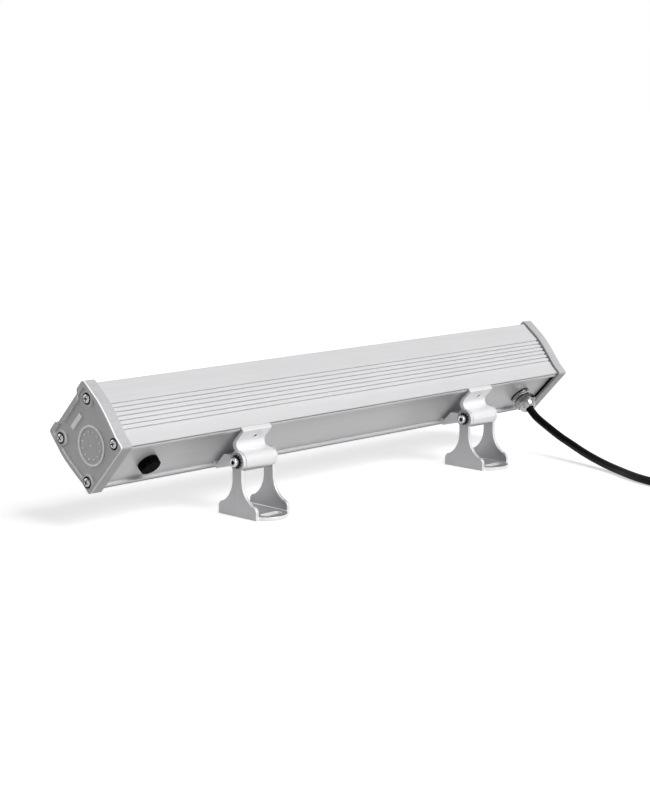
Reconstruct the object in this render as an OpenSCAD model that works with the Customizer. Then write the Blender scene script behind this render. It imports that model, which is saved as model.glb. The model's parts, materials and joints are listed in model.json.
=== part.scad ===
// Outdoor wall washer light, an aluminium extrusion with LED optics behind glass,
// carried by two clamps that slide on its mounting rails and two feet that swivel on them.
// +X runs along the light and +Z is up. The origin is on the floor, midway between the feet.

/* [Light] */
// Length over both end caps
overall_l = 500; // [470:10:900]
// Distance between the centres of the two feet
feet_span = 256; // [230:2:280]
// Shift of the light along X from the middle of its feet
light_shift = -6.3; // [-10:0.1:10]
// Tilt of the light, where zero shines straight up
tilt = 46; // [0:1:70]

/* [Housing] */
// Widest width across the ribbed sides
body_w = 56.8; // [55:0.2:66]
// Height from the rail face to the rim round the glass
body_h = 55.8; // [54:0.2:66]
// Height of the widest place above the rail face
belly_h = 37.3; // [35:0.1:38]
// How much each side draws in from the widest place to the rim
rim_draw = 1.5; // [0.5:0.1:2.5]
// How much each side draws in from the widest place to its straight foot
foot_draw = 3.6; // [2.5:0.1:4.2]
// Height of the straight foot of each side
side_foot_h = 8.3; // [7:0.1:10]
// Thickness of the side walls behind the grooves
wall_t = 3; // [2.6:0.1:3.6]
// Number of cooling grooves in each side
groove_count = 7; // [5:1:7]
// Distance from one cooling groove to the next
groove_pitch = 3.52; // [3:0.02:3.6]
// Width of a cooling groove
groove_w = 1.3; // [0.9:0.1:1.6]
// Depth of a cooling groove
groove_d = 1.3; // [0.8:0.1:1.6]
// Height of the lowest cooling groove
groove_start_h = 13.5; // [12:0.1:14.5]
// Thickness of the shelf that carries the LED board
shelf_t = 2.5; // [2:0.1:3]
// Depth of the shelf's upper face below the rim
shelf_drop = 16; // [15.6:0.1:16.6]
// Thickness of the floor between the rails
floor_t = 2.2; // [1.8:0.1:2.6]
// Radius of the screw ports
port_r = 3.2; // [2.9:0.1:3.4]
// Radius of the hole down each screw port
port_bore_r = 1.65; // [1.5:0.05:1.8]
// Distance of the lower ports from the straight foot of the side
low_port_in = 3; // [2.9:0.1:3.2]
// Height of the lower ports above the rail face
low_port_h = 6; // [5.8:0.1:6.4]
// Distance of the upper ports from the rim's side
high_port_in = 4.9; // [4.6:0.1:5.2]
// Depth of the upper ports below the rim
high_port_drop = 9.5; // [9:0.1:9.8]

/* [Mounting rails] */
// Thickness of the wall outside each hook slot
slot_wall_t = 1; // [0.8:0.1:1.2]
// How far the slot's outer wall stops short of the rail face
slot_wall_drop = 0.4; // [0.2:0.1:0.6]
// Width of the slot between the outer wall and the rail
hook_slot_w = 1.4; // [1.3:0.1:1.6]
// Depth of the slot below the rail face
hook_slot_d = 2.4; // [2.3:0.1:2.6]
// Width of each rail's face
rail_face_w = 2.4; // [2.2:0.1:2.6]
// Thickness of the rail's lips
rail_t = 1; // [0.8:0.1:1.1]
// Depth of the undercut below each lip
undercut_d = 0.7; // [0.6:0.05:0.75]
// Depth of the channel between the rails
channel_d = 2.3; // [2.2:0.1:2.5]

/* [Glass and optics] */
// Thickness of the glass
glass_t = 4; // [3:0.5:4]
// Thickness of the silicone seal round the glass
seal_t = 0.6; // [0.4:0.1:0.8]
// Depth of the glass below the rim
glass_set = 0.2; // [0:0.1:0.4]
// Wall left outside the glass pocket at the rim
rim_wall = 2.2; // [2:0.1:2.6]
// Width of the ledge under each edge of the glass
ledge_w = 2.5; // [2.2:0.1:3]
// Thickness of the ledge
ledge_t = 2.2; // [2:0.1:2.4]
// Width of the LED board
board_w = 26; // [22:1:28]
// Thickness of the LED board
board_t = 1.6; // [1:0.1:2]
// Distance from one LED to the next
led_pitch = 25.6; // [25:0.2:32]
// Side of an LED package
led_w = 3.5; // [3:0.1:4]
// Height of an LED package
led_h = 0.8; // [0.6:0.1:1]
// Radius of the dome on an LED package
led_dome_r = 1.3; // [1:0.05:1.4]
// Radius of a lens holder
holder_r = 9.6; // [9:0.1:9.8]
// Height of a lens holder
holder_h = 8.2; // [7.8:0.1:8.4]
// Wall of a lens holder
holder_wall = 0.8; // [0.6:0.1:1]
// Thickness of a lens's flange
lens_flange_t = 0.8; // [0.5:0.1:0.9]

/* [End caps] */
// Thickness of an end cap
cap_t = 10; // [9:0.5:14]
// How far a cap stands out past the ribbed sides
cap_rim = 1.8; // [1.2:0.1:2.4]
// How far a cap stands out past the rail face
cap_under = 1.7; // [1:0.1:2.2]
// How far a cap's corners stand out past the rim round the glass
cap_crown = 2.5; // [1.5:0.1:3]
// Width of the dip between the two corners beside the glass
cap_dip_w = 32; // [28:0.5:34]
// Width that each slope of the dip takes
cap_dip_slope = 2.6; // [1:0.1:3]
// Radius of a cap's outer corners
cap_corner_r = 2.2; // [1.5:0.1:2.6]
// Width of the rim round the sunk panel of a cap
panel_rim = 3.2; // [2.8:0.1:3.6]
// Depth of the sunk panel
panel_d = 1.6; // [1:0.1:2]
// Radius of the boss round each cap screw
boss_r = 5.6; // [5.2:0.1:5.8]
// Outer radius of the raised ring on the panel
ring_r = 14.5; // [13:0.1:15]
// Width of the raised ring
ring_w = 1.3; // [1:0.1:1.6]
// Height of the raised ring, ticks and pad above the panel
relief_h = 0.8; // [0.5:0.1:1]
// Height of the ring's centre above the rail face
ring_h = 21.5; // [20:0.5:22.5]
// Number of ticks inside the raised ring
tick_count = 12; // [8:1:16]
// Thickness of a cap gasket
gasket_t = 1; // [0.6:0.1:1.5]
// Width of the land that a cap presses on its gasket
land_w = 4.6; // [4.2:0.1:5]
// Depth of the hollow in the back of a cap
cap_hollow_d = 4.5; // [3:0.1:5]

/* [Cap screws] */
// Radius of the cap screws' heads
cap_head_r = 3.8; // [3.5:0.1:4]
// Height of the cap screws' heads
cap_head_h = 2.4; // [2:0.1:2.6]
// Depth of the seat under each head
cap_seat_d = 1.4; // [1:0.1:1.8]
// Length of the cap screws under the head
cap_screw_l = 20; // [16:1:24]

/* [Driver] */
// Length of the driver
driver_l = 190; // [150:5:200]
// Clearance between the driver and the screw ports beside it
driver_side_gap = 1.6; // [1.2:0.1:3]
// Clearance between the driver and the shelf above it
driver_head_gap = 8; // [6:0.5:12]
// Wall of the driver's case
driver_wall = 1.5; // [1.2:0.1:2]
// Thickness of the adhesive pad under the driver
pad_t = 0.8; // [0.5:0.1:1.2]

/* [Clamps] */
// Length of a clamp along the light
clamp_l = 28.4; // [24:0.2:32]
// Thickness of a clamp's leaf over the rails
leaf_t = 2.2; // [1.8:0.1:2.6]
// Thickness of the hook in the upper slot
hook_t = 1.05; // [0.9:0.05:1.1]
// Height of a clamp's leaf above the rail faces
clamp_gap = 1; // [0.8:0.1:1.2]
// Clearance between a clamp's hooks and the rails
hook_gap = 0.15; // [0.1:0.01:0.18]
// Outer radius of the knuckle that the foot swivels on
knuckle_r = 7.8; // [7:0.1:8.4]
// Depth of the swivel axis below the rail face
pivot_drop = 15.6; // [15:0.1:17]
// Offset of the swivel axis from the middle of the light towards the hook
pivot_side = 4.1; // [3:0.1:5]
// Radius of the hollow curve between the leaf and the knuckle
web_r = 5; // [4.5:0.1:5.4]
// Length of the lock screw in the leaf
lock_screw_l = 5.6; // [5:0.1:6]
// Radius of the lock screw
lock_screw_r = 2.5; // [2:0.1:2.5]

/* [Feet] */
// Height of the swivel axis above the floor
pivot_h = 41.3; // [38:0.1:60]
// Thickness of the foot's ears and base
foot_t = 2.8; // [2.4:0.1:3.2]
// Clearance between an ear and the clamp
ear_gap = 0.2; // [0.1:0.05:0.4]
// Radius of the round head of an ear
ear_head_r = 7.7; // [7:0.1:8.2]
// Width of an ear's waist
ear_waist_w = 10; // [9:0.5:12]
// Width of an ear at the floor
ear_base_w = 40.8; // [36:0.2:46]
// Radius of the hollow flare from the waist to the base
flare_r = 20; // [19:0.5:21]
// Radius of an ear's lower corners
ear_corner_r = 5; // [4:0.1:5.5]
// Length of the base over its two round ends
base_l = 58.8; // [56:0.2:66]
// Distance between the two slots of one foot
slot_span = 36; // [34:0.5:37]
// Width of a fixing slot
slot_w = 6.5; // [5.5:0.1:7]
// Length of a fixing slot
slot_l = 18; // [14:0.5:19]

/* [Swivel bolts] */
// Radius of the swivel bolt
bolt_r = 2; // [1.8:0.1:2.5]
// Radial clearance of the bolt in the knuckle
bolt_fit = 0.06; // [0.03:0.01:0.1]
// Radial clearance of the bolt in the ears and washers
bolt_clear = 0.15; // [0.1:0.05:0.3]
// Radius of the bolt's socket head
bolt_head_r = 3.5; // [3.3:0.1:4.4]
// Height of the bolt's socket head
bolt_head_h = 3.4; // [3:0.1:5]
// Outer radius of the toothed washer
star_r = 5.2; // [4.8:0.1:5.6]
// Number of teeth on the toothed washer
star_teeth = 12; // [8:1:16]
// Outer radius of the plain washer
washer_r = 4.5; // [4.3:0.1:5.5]
// Thickness of the washers
washer_t = 0.8; // [0.6:0.1:1]
// Distance across the flats of the nut
nut_af = 7; // [6.8:0.1:8]
// Height of the nut
nut_h = 3.2; // [3:0.1:4]
// Length of bolt that stands out of the nut
bolt_tail = 1.6; // [0.5:0.1:3]

/* [Cable gland] */
// Distance of the gland's axis from the right end cap
gland_in = 26.7; // [25:0.1:40]
// Offset of the gland's axis from the middle of the light
gland_side = 3; // [-2:0.5:4]
// Radius of the gland's thread
gland_r = 7; // [6.6:0.05:7.2]
// Radial clearance of the threads in their holes
thread_gap = 0.1; // [0.05:0.05:0.2]
// Distance across the flats of the gland's body
gland_af = 17; // [16.6:0.2:20]
// Height of the gland's hexagon
gland_hex_h = 3.1; // [2.5:0.1:6]
// Height of the gland's cap nut
gland_nut_h = 11.2; // [10.8:0.1:13]
// Height of the seal rings under the gland and the vent
ring_seal_t = 1.2; // [0.8:0.1:1.5]
// Distance across the flats of the nut inside the housing
gland_locknut_af = 18; // [17:0.5:22]
// Height of the nuts inside the housing
locknut_h = 3; // [2.5:0.1:4]
// Radius of the supply cable
cable_r = 3.3; // [3:0.1:3.4]
// Radial clearance of the cable in the gland
cable_gap = 0.3; // [0.15:0.05:0.4]

/* [Vent] */
// Distance of the vent's axis from the left end cap
vent_in = 31.5; // [26:0.5:45]
// Offset of the vent's axis from the middle of the light
vent_side = 2.4; // [-2:0.1:4]
// Radius of the vent's thread
vent_r = 5.95; // [5.5:0.05:6.2]
// Radius of the vent's cover
vent_cover_r = 8; // [7.8:0.1:9]
// Height of the vent's cover
vent_cover_h = 3.4; // [3:0.1:6]
// Height of the vent's flange
vent_flange_h = 1.4; // [1.2:0.1:3]
// Distance across the flats of the vent's nut
vent_nut_af = 17; // [16:0.5:18]

/* [Hidden] */
// The names are those of the separate pieces, from the housing inwards and then outwards.
$fn = 64;

// Overrun of a cut past the face that it opens
over = 0.5;
// Share that shapes how the ribbed side draws in below its widest place
side_power_share = 1.5;
// Number of straight steps that make a curved outline
steps = 8;
// Chamfer along the rails and the rim
edge = 0.6;
// Filling in the corner between each ledge and the side wall
ledge_corner = 1.2;

// Sides of the section, measured from its middle
belly_half = body_w / 2;
foot_half = belly_half - foot_draw;
rim_half = belly_half - rim_draw;
slot_out = foot_half - slot_wall_t;
rail_half = slot_out - hook_slot_w;
channel_half = rail_half - rail_face_w;
rail_edge = 0.3 * rail_t;
inner_floor_h = channel_d + floor_t;

// Lengths along the light
housing_l = overall_l - 2 * (cap_t + gasket_t);
cap_inner_x = overall_l / 2 - cap_t;

// Screw ports, as pairs of side and height
port_places = [
    for (s = [-1, 1]) [s * (foot_half - low_port_in), low_port_h],
    for (s = [-1, 1]) [s * (rim_half - high_port_in), body_h - high_port_drop]
];

// Heights of the optics above the rail face
pocket_half = rim_half - rim_wall;
glass_top_h = body_h - glass_set;
glass_bottom_h = glass_top_h - glass_t;
ledge_top_h = glass_bottom_h - seal_t;
shelf_top_h = body_h - shelf_drop;
shelf_bottom_h = shelf_top_h - shelf_t;
board_top_h = shelf_top_h + board_t;

// The LED board and its row of LEDs
board_end_gap = 8;
board_l = housing_l - 2 * board_end_gap;
led_count = floor((board_l - 2 * holder_r) / led_pitch) + 1;
led_places = [for (i = [0 : led_count - 1]) (i - (led_count - 1) / 2) * led_pitch];
holder_base_t = 0.8;
holder_bore_r = 4.8;
lens_r = holder_r - holder_wall - 0.2 * lens_flange_t;
lens_tip_r = 4.4;
lens_lift = 1.6;
lens_cup_r = 2.4;
lens_cup_d = 2.6;

// Screws that hold the LED board to the shelf, one between every fourth pair of LEDs
board_screw_r = 1.5;
board_screw_fit = 0.1;
board_screw_head_r = 2.6;
board_screw_head_h = 1.8;
board_screw_step = 4;
board_screw_places = [
    for (i = [0 : board_screw_step : led_count - 2]) (led_places[i] + led_places[i + 1]) / 2
];

// Cap relief
cap_wall = cap_t - panel_d - cap_hollow_d;
tick_r = 0.6;
tick_ring_share = 0.68;
pad_l = 15;
pad_w = 3.6;
pad_drop = 12.2;
cap_hole_r = 2.2;
cap_shank_gap = 0.05;
recess_w = 0.9;
recess_l = 3.8;
recess_d = 1.3;
head_crown_share = 0.45;

// Driver
driver_x = 15;
driver_floor_h = inner_floor_h + pad_t;
driver_w = 2 * (foot_half - low_port_in - port_r - driver_side_gap);
driver_h = shelf_bottom_h - driver_floor_h - driver_head_gap;
driver_board_t = 1.6;
driver_board_lift = 3;
driver_fit = 0.2;
lid_t = 1.5;
core_r = 1.2;
lead_r = 0.9;
lead_gap = 0.4;
lead_hole_r = lead_r + lead_gap;
lead_pitch = 3.2;
lead_rise_in = 71;
lead_rise_x = lead_rise_in - board_l / 2;
lead_side = board_w / 2 + lead_hole_r + 0.3 * lead_r;

// Clamp section, in the section's side and height
pivot_p = -pivot_side;
pivot_q = -pivot_drop;
leaf_in_q = -clamp_gap;
leaf_out_q = leaf_in_q - leaf_t;
hook_out_p = hook_gap - slot_out;
hook_in_p = hook_out_p + hook_t;
nose_low_q = rail_t + hook_gap;
nose_high_q = hook_slot_d - hook_gap;
nose_p = undercut_d - hook_gap - rail_half;
web_sink = 0.5;
web_q = leaf_out_q - web_r;
web_p = pivot_p - sqrt(pow(knuckle_r + web_r - web_sink, 2) - pow(pivot_q - web_q, 2));
leg_root_r = knuckle_r - web_sink;
hollow_r = 5;
hollow_p = pivot_p - 1.6;
hollow_low_q = pivot_q + 0.94 * knuckle_r;
leg_in_p = pivot_p + 0.33 * knuckle_r;
leg_rest_p = leg_in_p + 0.9 * knuckle_r;
leg_turn = 12;
leg_tip_t = leaf_t + 0.3;
toe_p = channel_half - hook_gap;
toe_root_w = 2.4;
toe_tip_p = channel_half + undercut_d - hook_gap;
toe_high_q = channel_d - hook_gap;
leg_tip_p = toe_p + 0.8;
lock_screw_in = 4.4;
lock_screw_p = lock_screw_in - channel_half;
lock_screw_x = 2.6;
lock_screw_fit = 0.05;
lock_socket_r = 1.45;
lock_socket_d = 2;

// Foot, in its own Y and Z
foot_in_w = clamp_l + 2 * ear_gap;
foot_out_w = foot_in_w + 2 * foot_t;
flare_y = ear_waist_w / 2 + flare_r;
flare_end_y = ear_base_w / 2 - ear_corner_r;
flare_top_h = 28.2;
lobe_reach = (base_l - ear_base_w) / 2;
lobe_r = (pow(lobe_reach, 2) + pow(foot_in_w / 2, 2)) / (2 * lobe_reach);
bolt_hole_r = bolt_r + bolt_clear;
socket_af = 3;
socket_d = 2;
star_notch_w = 0.9;
star_notch_d = 1.3;

// Gland and vent, measured outwards from the floor of the channel
gland_x = cap_inner_x - gland_in;
vent_x = -cap_inner_x + vent_in;
gland_hole_r = gland_r + thread_gap;
vent_hole_r = vent_r + thread_gap;
gland_turn = 20;
gland_ring_r = gland_af / 2 + 0.4;
gland_stem_l = floor_t + locknut_h + 3;
gland_neck_r = gland_r - 0.6;
gland_neck_h = 5;
gland_seat_r = 5.2;
gland_seat_d = 2.5;
gland_body_top = ring_seal_t + gland_hex_h;
gland_nut_base = gland_body_top + 0.5;
gland_nut_hex_share = 0.56;
gland_nut_crown_r = 5.4;
gland_nut_skin = 1.4;
cable_hole_r = cable_r + cable_gap;
bush_gap = 0.05;
vent_stem_l = floor_t + locknut_h + 2;
vent_bore_r = 3.4;
vent_slots = 6;
vent_slot_w = 1.6;
membrane_t = 0.4;
membrane_r = 5;
vent_cavity_r = 5.4;
vent_cavity_h = 1.6;

// Route of the supply cable, from inside the gland to the point where its coil starts
cable_route = [
    [207, 24.3, 54.8], [207, 18, 48.8], [207, 12, 43], [207, 6.3, 37.5], [207, 1, 32.5],
    [207, -4.5, 28.8], [206.3, -10.5, 26], [205.3, -16.5, 23.5], [204.2, -23, 20.8],
    [203, -29.5, 18.3], [200.2, -43, 14.2], [196.5, -56, 10.8], [192.5, -69, 8],
    [188.5, -82, 5.8], [183.5, -96, 4.2], [177.5, -111, 3.4], [170, -126, 3.3],
    [164.5, -139, 3.3], [161, -151, 3.3], [158.8, -162, 3.3], [157.6, -171, 3.3]
];
cable_sides = 12;
// Height above the rail face where the cable ends inside the housing
cable_end_h = inner_floor_h + locknut_h + 3.8;
// Centre and size of the flat coil that the rest of the cable makes on the floor
coil_x = 206;
coil_y = -192;
coil_out_r = 53;
coil_in_r = 25;
coil_h = 6.6;
tie_w = 3.6;
tie_t = 1;
tie_turn = 60;
tie_head_w = 5.4;
tie_head_h = 3.4;
// Bare end of the cable inside the coil
end_core_route = [
    [190.5, -206.5, 1.3], [196.5, -211, 1.3], [204, -212.5, 1.3],
    [211.5, -210.5, 1.3], [217, -205.5, 1.3]
];
end_core_step = 2.4;
end_core_r = 1.1;
ferrule_r = 1.25;
ferrule_l = 8;

// Half width of the ribbed side at a height above the rail face
function side(h) =
    h <= side_foot_h ? foot_half
    : h <= belly_h ? belly_half
        - foot_draw * pow((belly_h - h) / (belly_h - side_foot_h), side_power_share)
    : belly_half - rim_draw * (h - belly_h) / (body_h - belly_h);

// Points up one side between two heights, moved outwards by a margin
function side_points(low, high, margin) = [
    for (i = [0 : steps]) let (h = low + (high - low) * i / steps) [side(h) + margin, h]
];

// Points along an arc
function arc(x, y, r, from, to, n = steps) = [
    for (i = [0 : n]) let (a = from + (to - from) * i / n) [x + r * cos(a), y + r * sin(a)]
];

// A half outline on the positive side, closed by its mirror image
function both_sides(points) = concat(
    points,
    [for (i = [len(points) - 1 : -1 : 0]) [-points[i][0], points[i][1]]]
);

function unit(v) = v / norm(v);

// Direction of a route at one of its points
function heading(route, i) =
    unit(route[min(i + 1, len(route) - 1)] - route[max(i - 1, 0)]);

// Moves 2D outlines drawn in Y and Z along X, centred
module along_x(length) {
    rotate([90, 0, 90]) linear_extrude(length, center = true) children();
}

// A round bar along X, centred
module bar_x(r, length) {
    rotate([0, 90, 0]) cylinder(r = r, h = length, center = true);
}

// A hexagonal bar along Z from its size across the flats
module hexagon(across, height) {
    cylinder(d = across / cos(30), h = height, $fn = 6);
}

// A round tube swept along a route, with the given number of sides
module tube(route, r, sides, up) {
    last = len(route) - 1;
    points = [
        for (i = [0 : last])
            let (t = heading(route, i), n = unit(cross(t, up)), b = cross(n, t))
                for (k = [0 : sides - 1])
                    route[i] + r * (n * cos(360 * k / sides) + b * sin(360 * k / sides))
    ];
    walls = [
        for (i = [0 : last - 1], k = [0 : sides - 1])
            let (a = i * sides + k, b = i * sides + (k + 1) % sides)
                each [[a, b, b + sides], [a, b + sides, a + sides]]
    ];
    start = [[for (k = [sides - 1 : -1 : 0]) k]];
    finish = [[for (k = [0 : sides - 1]) last * sides + k]];
    polyhedron(points, concat(walls, start, finish));
}

// Places pieces in the light's section: X along it, Y across it, Z up from its rail face
module on_section(x) {
    translate([x, 0, pivot_h]) rotate([-tilt, 0, 0]) translate([0, pivot_side, pivot_drop])
        children();
}

module in_light() {
    on_section(light_shift) children();
}

// Places pieces on the channel floor, with Z pointing out of the light
module on_face(x, side_offset) {
    in_light() translate([x, side_offset, channel_d]) rotate([180, 0, 0]) children();
}

// Section of the housing without its hollows
module housing_outline() {
    stem = rail_half - undercut_d;
    polygon(both_sides(concat(
        [[rail_half - rail_edge, 0], [rail_half, rail_edge], [rail_half, rail_t],
            [stem, rail_t], [stem, hook_slot_d]],
        [[slot_out, hook_slot_d], [slot_out, slot_wall_drop],
            [foot_half - edge, slot_wall_drop], [foot_half, slot_wall_drop + edge]],
        side_points(side_foot_h, belly_h, 0),
        [[rim_half, body_h - edge], [rim_half - edge, body_h]]
    )));
}

module ports_2d(r) {
    for (place = port_places) translate(place) circle(r);
}

module housing_hollows() {
    ledge_low_h = ledge_top_h - ledge_t;
    polygon(both_sides(side_points(inner_floor_h, shelf_bottom_h, -wall_t)));
    polygon(both_sides(concat(
        side_points(shelf_top_h, ledge_low_h - ledge_corner, -wall_t),
        [[side(ledge_low_h) - wall_t - ledge_corner, ledge_low_h]]
    )));
    pocket_opening();
}

// The opening over the ledges and the pocket that the glass lies in
module pocket_opening() {
    ledge_in = pocket_half - ledge_w;
    polygon(both_sides([
        [ledge_in, ledge_top_h - ledge_t - over], [ledge_in, ledge_top_h],
        [pocket_half, ledge_top_h], [pocket_half, body_h + over]
    ]));
}

module channel_2d() {
    polygon(both_sides([
        [channel_half, -over], [channel_half, rail_t],
        [channel_half + undercut_d, rail_t], [channel_half + undercut_d, channel_d]
    ]));
}

module grooves_2d() {
    for (i = [0 : groove_count - 1], s = [-1, 1]) {
        h = groove_start_h + i * groove_pitch;
        translate([s * side(h), h]) square([2 * groove_d, groove_w], center = true);
    }
}

module housing() {
    color("gainsboro") difference() {
        in_light() along_x(housing_l) difference() {
            housing_outline();
            difference() {
                housing_hollows();
                ports_2d(port_r);
            }
            ports_2d(port_bore_r);
            channel_2d();
            grooves_2d();
        }
        on_face(gland_x, gland_side) wall_hole(gland_hole_r);
        on_face(vent_x, vent_side) wall_hole(vent_hole_r);
        in_light() shelf_holes();
    }
}

// A hole through the floor of the channel
module wall_hole(r) {
    translate([0, 0, -floor_t - over]) cylinder(r = r, h = floor_t + 2 * over);
}

module shelf_holes() {
    depth = shelf_t + 2 * over;
    for (x = board_screw_places) translate([x, 0, shelf_bottom_h - over])
        cylinder(r = board_screw_r + board_screw_fit, h = depth);
    for (s = [-1, 1]) translate([lead_rise_x + s * lead_pitch / 2, lead_side, shelf_bottom_h - over])
        cylinder(r = lead_hole_r, h = depth);
}

// Outline of an end cap, drawn in by an inset
module cap_outline(inset) {
    margin = cap_rim - inset;
    low = -cap_under + inset;
    dip = body_h - inset;
    top = body_h + cap_crown - inset;
    r = cap_corner_r;
    dip_half = cap_dip_w / 2 - inset;
    polygon(both_sides(concat(
        arc(foot_half + margin - r, low + r, r, -90, 0),
        side_points(side_foot_h, top - r, margin),
        arc(side(top) + margin - r, top - r, r, 0, 90),
        [[dip_half + cap_dip_slope, top], [dip_half, dip]]
    )));
}

// The sunk panel of a cap, cut back round the four screw bosses
module panel_2d() {
    difference() {
        cap_outline(panel_rim);
        ports_2d(boss_r);
    }
}

// One end cap with its face at X = 0 and its back towards +X
module end_cap() {
    middle = cap_t / 2;
    difference() {
        translate([middle, 0, 0]) along_x(cap_t) cap_outline(0);
        along_x(2 * panel_d) panel_2d();
        translate([cap_t, 0, 0]) along_x(2 * cap_hollow_d) difference() {
            cap_outline(cap_rim + land_w);
            ports_2d(boss_r - edge);
        }
        for (place = port_places) translate([0, place[0], place[1]]) {
            bar_x(cap_head_r + edge, 2 * cap_seat_d);
            translate([middle, 0, 0]) bar_x(cap_hole_r, cap_t + 2 * over);
        }
    }
    translate([panel_d, 0, 0]) cap_relief();
}

// Raised ring with ticks and a blank pad, standing on the sunk panel
module cap_relief() {
    translate([-relief_h / 2, 0, ring_h]) {
        difference() {
            bar_x(ring_r, relief_h);
            bar_x(ring_r - ring_w, relief_h + over);
        }
        bar_x(tick_r, relief_h);
        for (i = [0 : tick_count - 1]) rotate([360 * i / tick_count, 0, 0])
            translate([0, 0, tick_ring_share * ring_r]) bar_x(tick_r, relief_h);
    }
    translate([-relief_h / 2, 0, body_h - pad_drop]) cube([relief_h, pad_l, pad_w], center = true);
}

module left_end_cap() {
    color("silver") in_light() translate([-overall_l / 2, 0, 0]) end_cap();
}

module right_end_cap() {
    color("silver") in_light() translate([overall_l / 2, 0, 0]) mirror([1, 0, 0]) end_cap();
}

// Flat gasket between a cap and the end of the housing
module cap_gasket(s) {
    color("dimgray") in_light() translate([s * (cap_inner_x - gasket_t / 2), 0, 0])
        along_x(gasket_t) difference() {
            polygon(both_sides(concat(
                [[foot_half - edge, edge]],
                side_points(side_foot_h, body_h - edge, -edge)
            )));
            difference() {
                cap_outline(cap_rim + land_w);
                ports_2d(boss_r - edge);
            }
            ports_2d(cap_hole_r);
        }
}

module left_cap_gasket() {
    cap_gasket(-1);
}

module right_cap_gasket() {
    cap_gasket(1);
}

// A pan-head screw along +Z with its head above Z = 0 and a cross recess
module pan_screw(head_r, head_h, shank_r, length) {
    crown = head_crown_share * head_h;
    difference() {
        union() {
            rotate_extrude() polygon(concat(
                [[0, 0], [head_r, 0]],
                [for (a = [0 : 90 / steps : 90])
                    [head_r - crown + crown * cos(a), head_h - crown + crown * sin(a)]],
                [[0, head_h]]
            ));
            translate([0, 0, -length]) cylinder(r = shank_r, h = length + over);
        }
        for (a = [0, 90]) rotate(a) translate([0, 0, head_h])
            cube([recess_l, recess_w, 2 * recess_d], center = true);
    }
}

module cap_screws(s) {
    color("lightgray") in_light() for (place = port_places)
        translate([s * (overall_l / 2 - cap_seat_d), place[0], place[1]]) rotate([0, s * 90, 0])
            pan_screw(cap_head_r, cap_head_h, port_bore_r - cap_shank_gap, cap_screw_l);
}

module left_cap_screws() {
    cap_screws(-1);
}

module right_cap_screws() {
    cap_screws(1);
}

module glass() {
    color("lightcyan", 0.4) in_light() translate([0, 0, glass_bottom_h + glass_t / 2])
        cube([housing_l, 2 * (pocket_half - seal_t), glass_t], center = true);
}

// Two strips of silicone, under the glass and beside its edges
module glass_seal() {
    ledge_in = pocket_half - ledge_w;
    color("gray") in_light() along_x(housing_l) for (s = [0, 1]) mirror([s, 0]) polygon([
        [ledge_in, ledge_top_h], [pocket_half, ledge_top_h], [pocket_half, glass_top_h],
        [pocket_half - seal_t, glass_top_h], [pocket_half - seal_t, glass_bottom_h],
        [ledge_in, glass_bottom_h]
    ]);
}

module led_board() {
    color("white") in_light() difference() {
        translate([0, 0, shelf_top_h + board_t / 2]) cube([board_l, board_w, board_t], center = true);
        for (x = board_screw_places) translate([x, 0, shelf_top_h - over])
            cylinder(r = board_screw_r + board_screw_fit, h = board_t + 2 * over);
    }
}

// Copies of one piece of optics on the LED board
module along_leds() {
    in_light() for (x = led_places) translate([x, 0, board_top_h]) children();
}

module led_emitters() {
    color("khaki") along_leds() {
        translate([0, 0, led_h / 2]) cube([led_w, led_w, led_h], center = true);
        translate([0, 0, led_h]) intersection() {
            sphere(led_dome_r, $fn = 32);
            cylinder(r = 2 * led_dome_r, h = 2 * led_dome_r);
        }
    }
}

module lens_holders() {
    color("black") along_leds() rotate_extrude() polygon([
        [holder_bore_r, 0], [holder_r, 0], [holder_r, holder_h],
        [holder_r - holder_wall, holder_h], [holder_r - holder_wall, holder_base_t],
        [holder_bore_r, holder_base_t]
    ]);
}

// Clear lens that hangs by its flange in the holder, with a cup over the LED
module lenses() {
    top = holder_h + lens_flange_t;
    color("azure", 0.5) along_leds() rotate_extrude() polygon([
        [0, lens_lift + lens_cup_d], [lens_cup_r, lens_lift + lens_cup_d], [lens_cup_r, lens_lift],
        [lens_tip_r, lens_lift], [lens_r, holder_h], [holder_r, holder_h], [holder_r, top], [0, top]
    ]);
}

module board_screws() {
    color("lightgray") in_light() for (x = board_screw_places) translate([x, 0, board_top_h])
        pan_screw(board_screw_head_r, board_screw_head_h, board_screw_r, board_t + shelf_t);
}

// Two wires from the driver up through the shelf to the LED board
module led_leads() {
    start_x = driver_x - driver_l / 2;
    run_h = driver_floor_h + driver_h / 2;
    solder_y = board_w / 2 - lead_pitch;
    color("firebrick") in_light() for (s = [-1, 1]) {
        rise_x = lead_rise_x + s * lead_pitch / 2;
        tube([
            [start_x, -s * lead_pitch, run_h], [start_x - driver_h / 2, -s * lead_pitch, run_h],
            [(start_x + rise_x) / 2, lead_side / 2, run_h],
            [rise_x + lead_pitch, lead_side, run_h + lead_pitch],
            [rise_x, lead_side, run_h + 3 * lead_pitch], [rise_x, lead_side, shelf_bottom_h],
            [rise_x, lead_side, board_top_h + lead_r],
            [rise_x, lead_side - lead_r, board_top_h + 2 * lead_r],
            [rise_x, solder_y, board_top_h + 1.2 * lead_r]
        ], lead_r, 8, [0.6, 0.8, 0.1]);
    }
}

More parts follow.
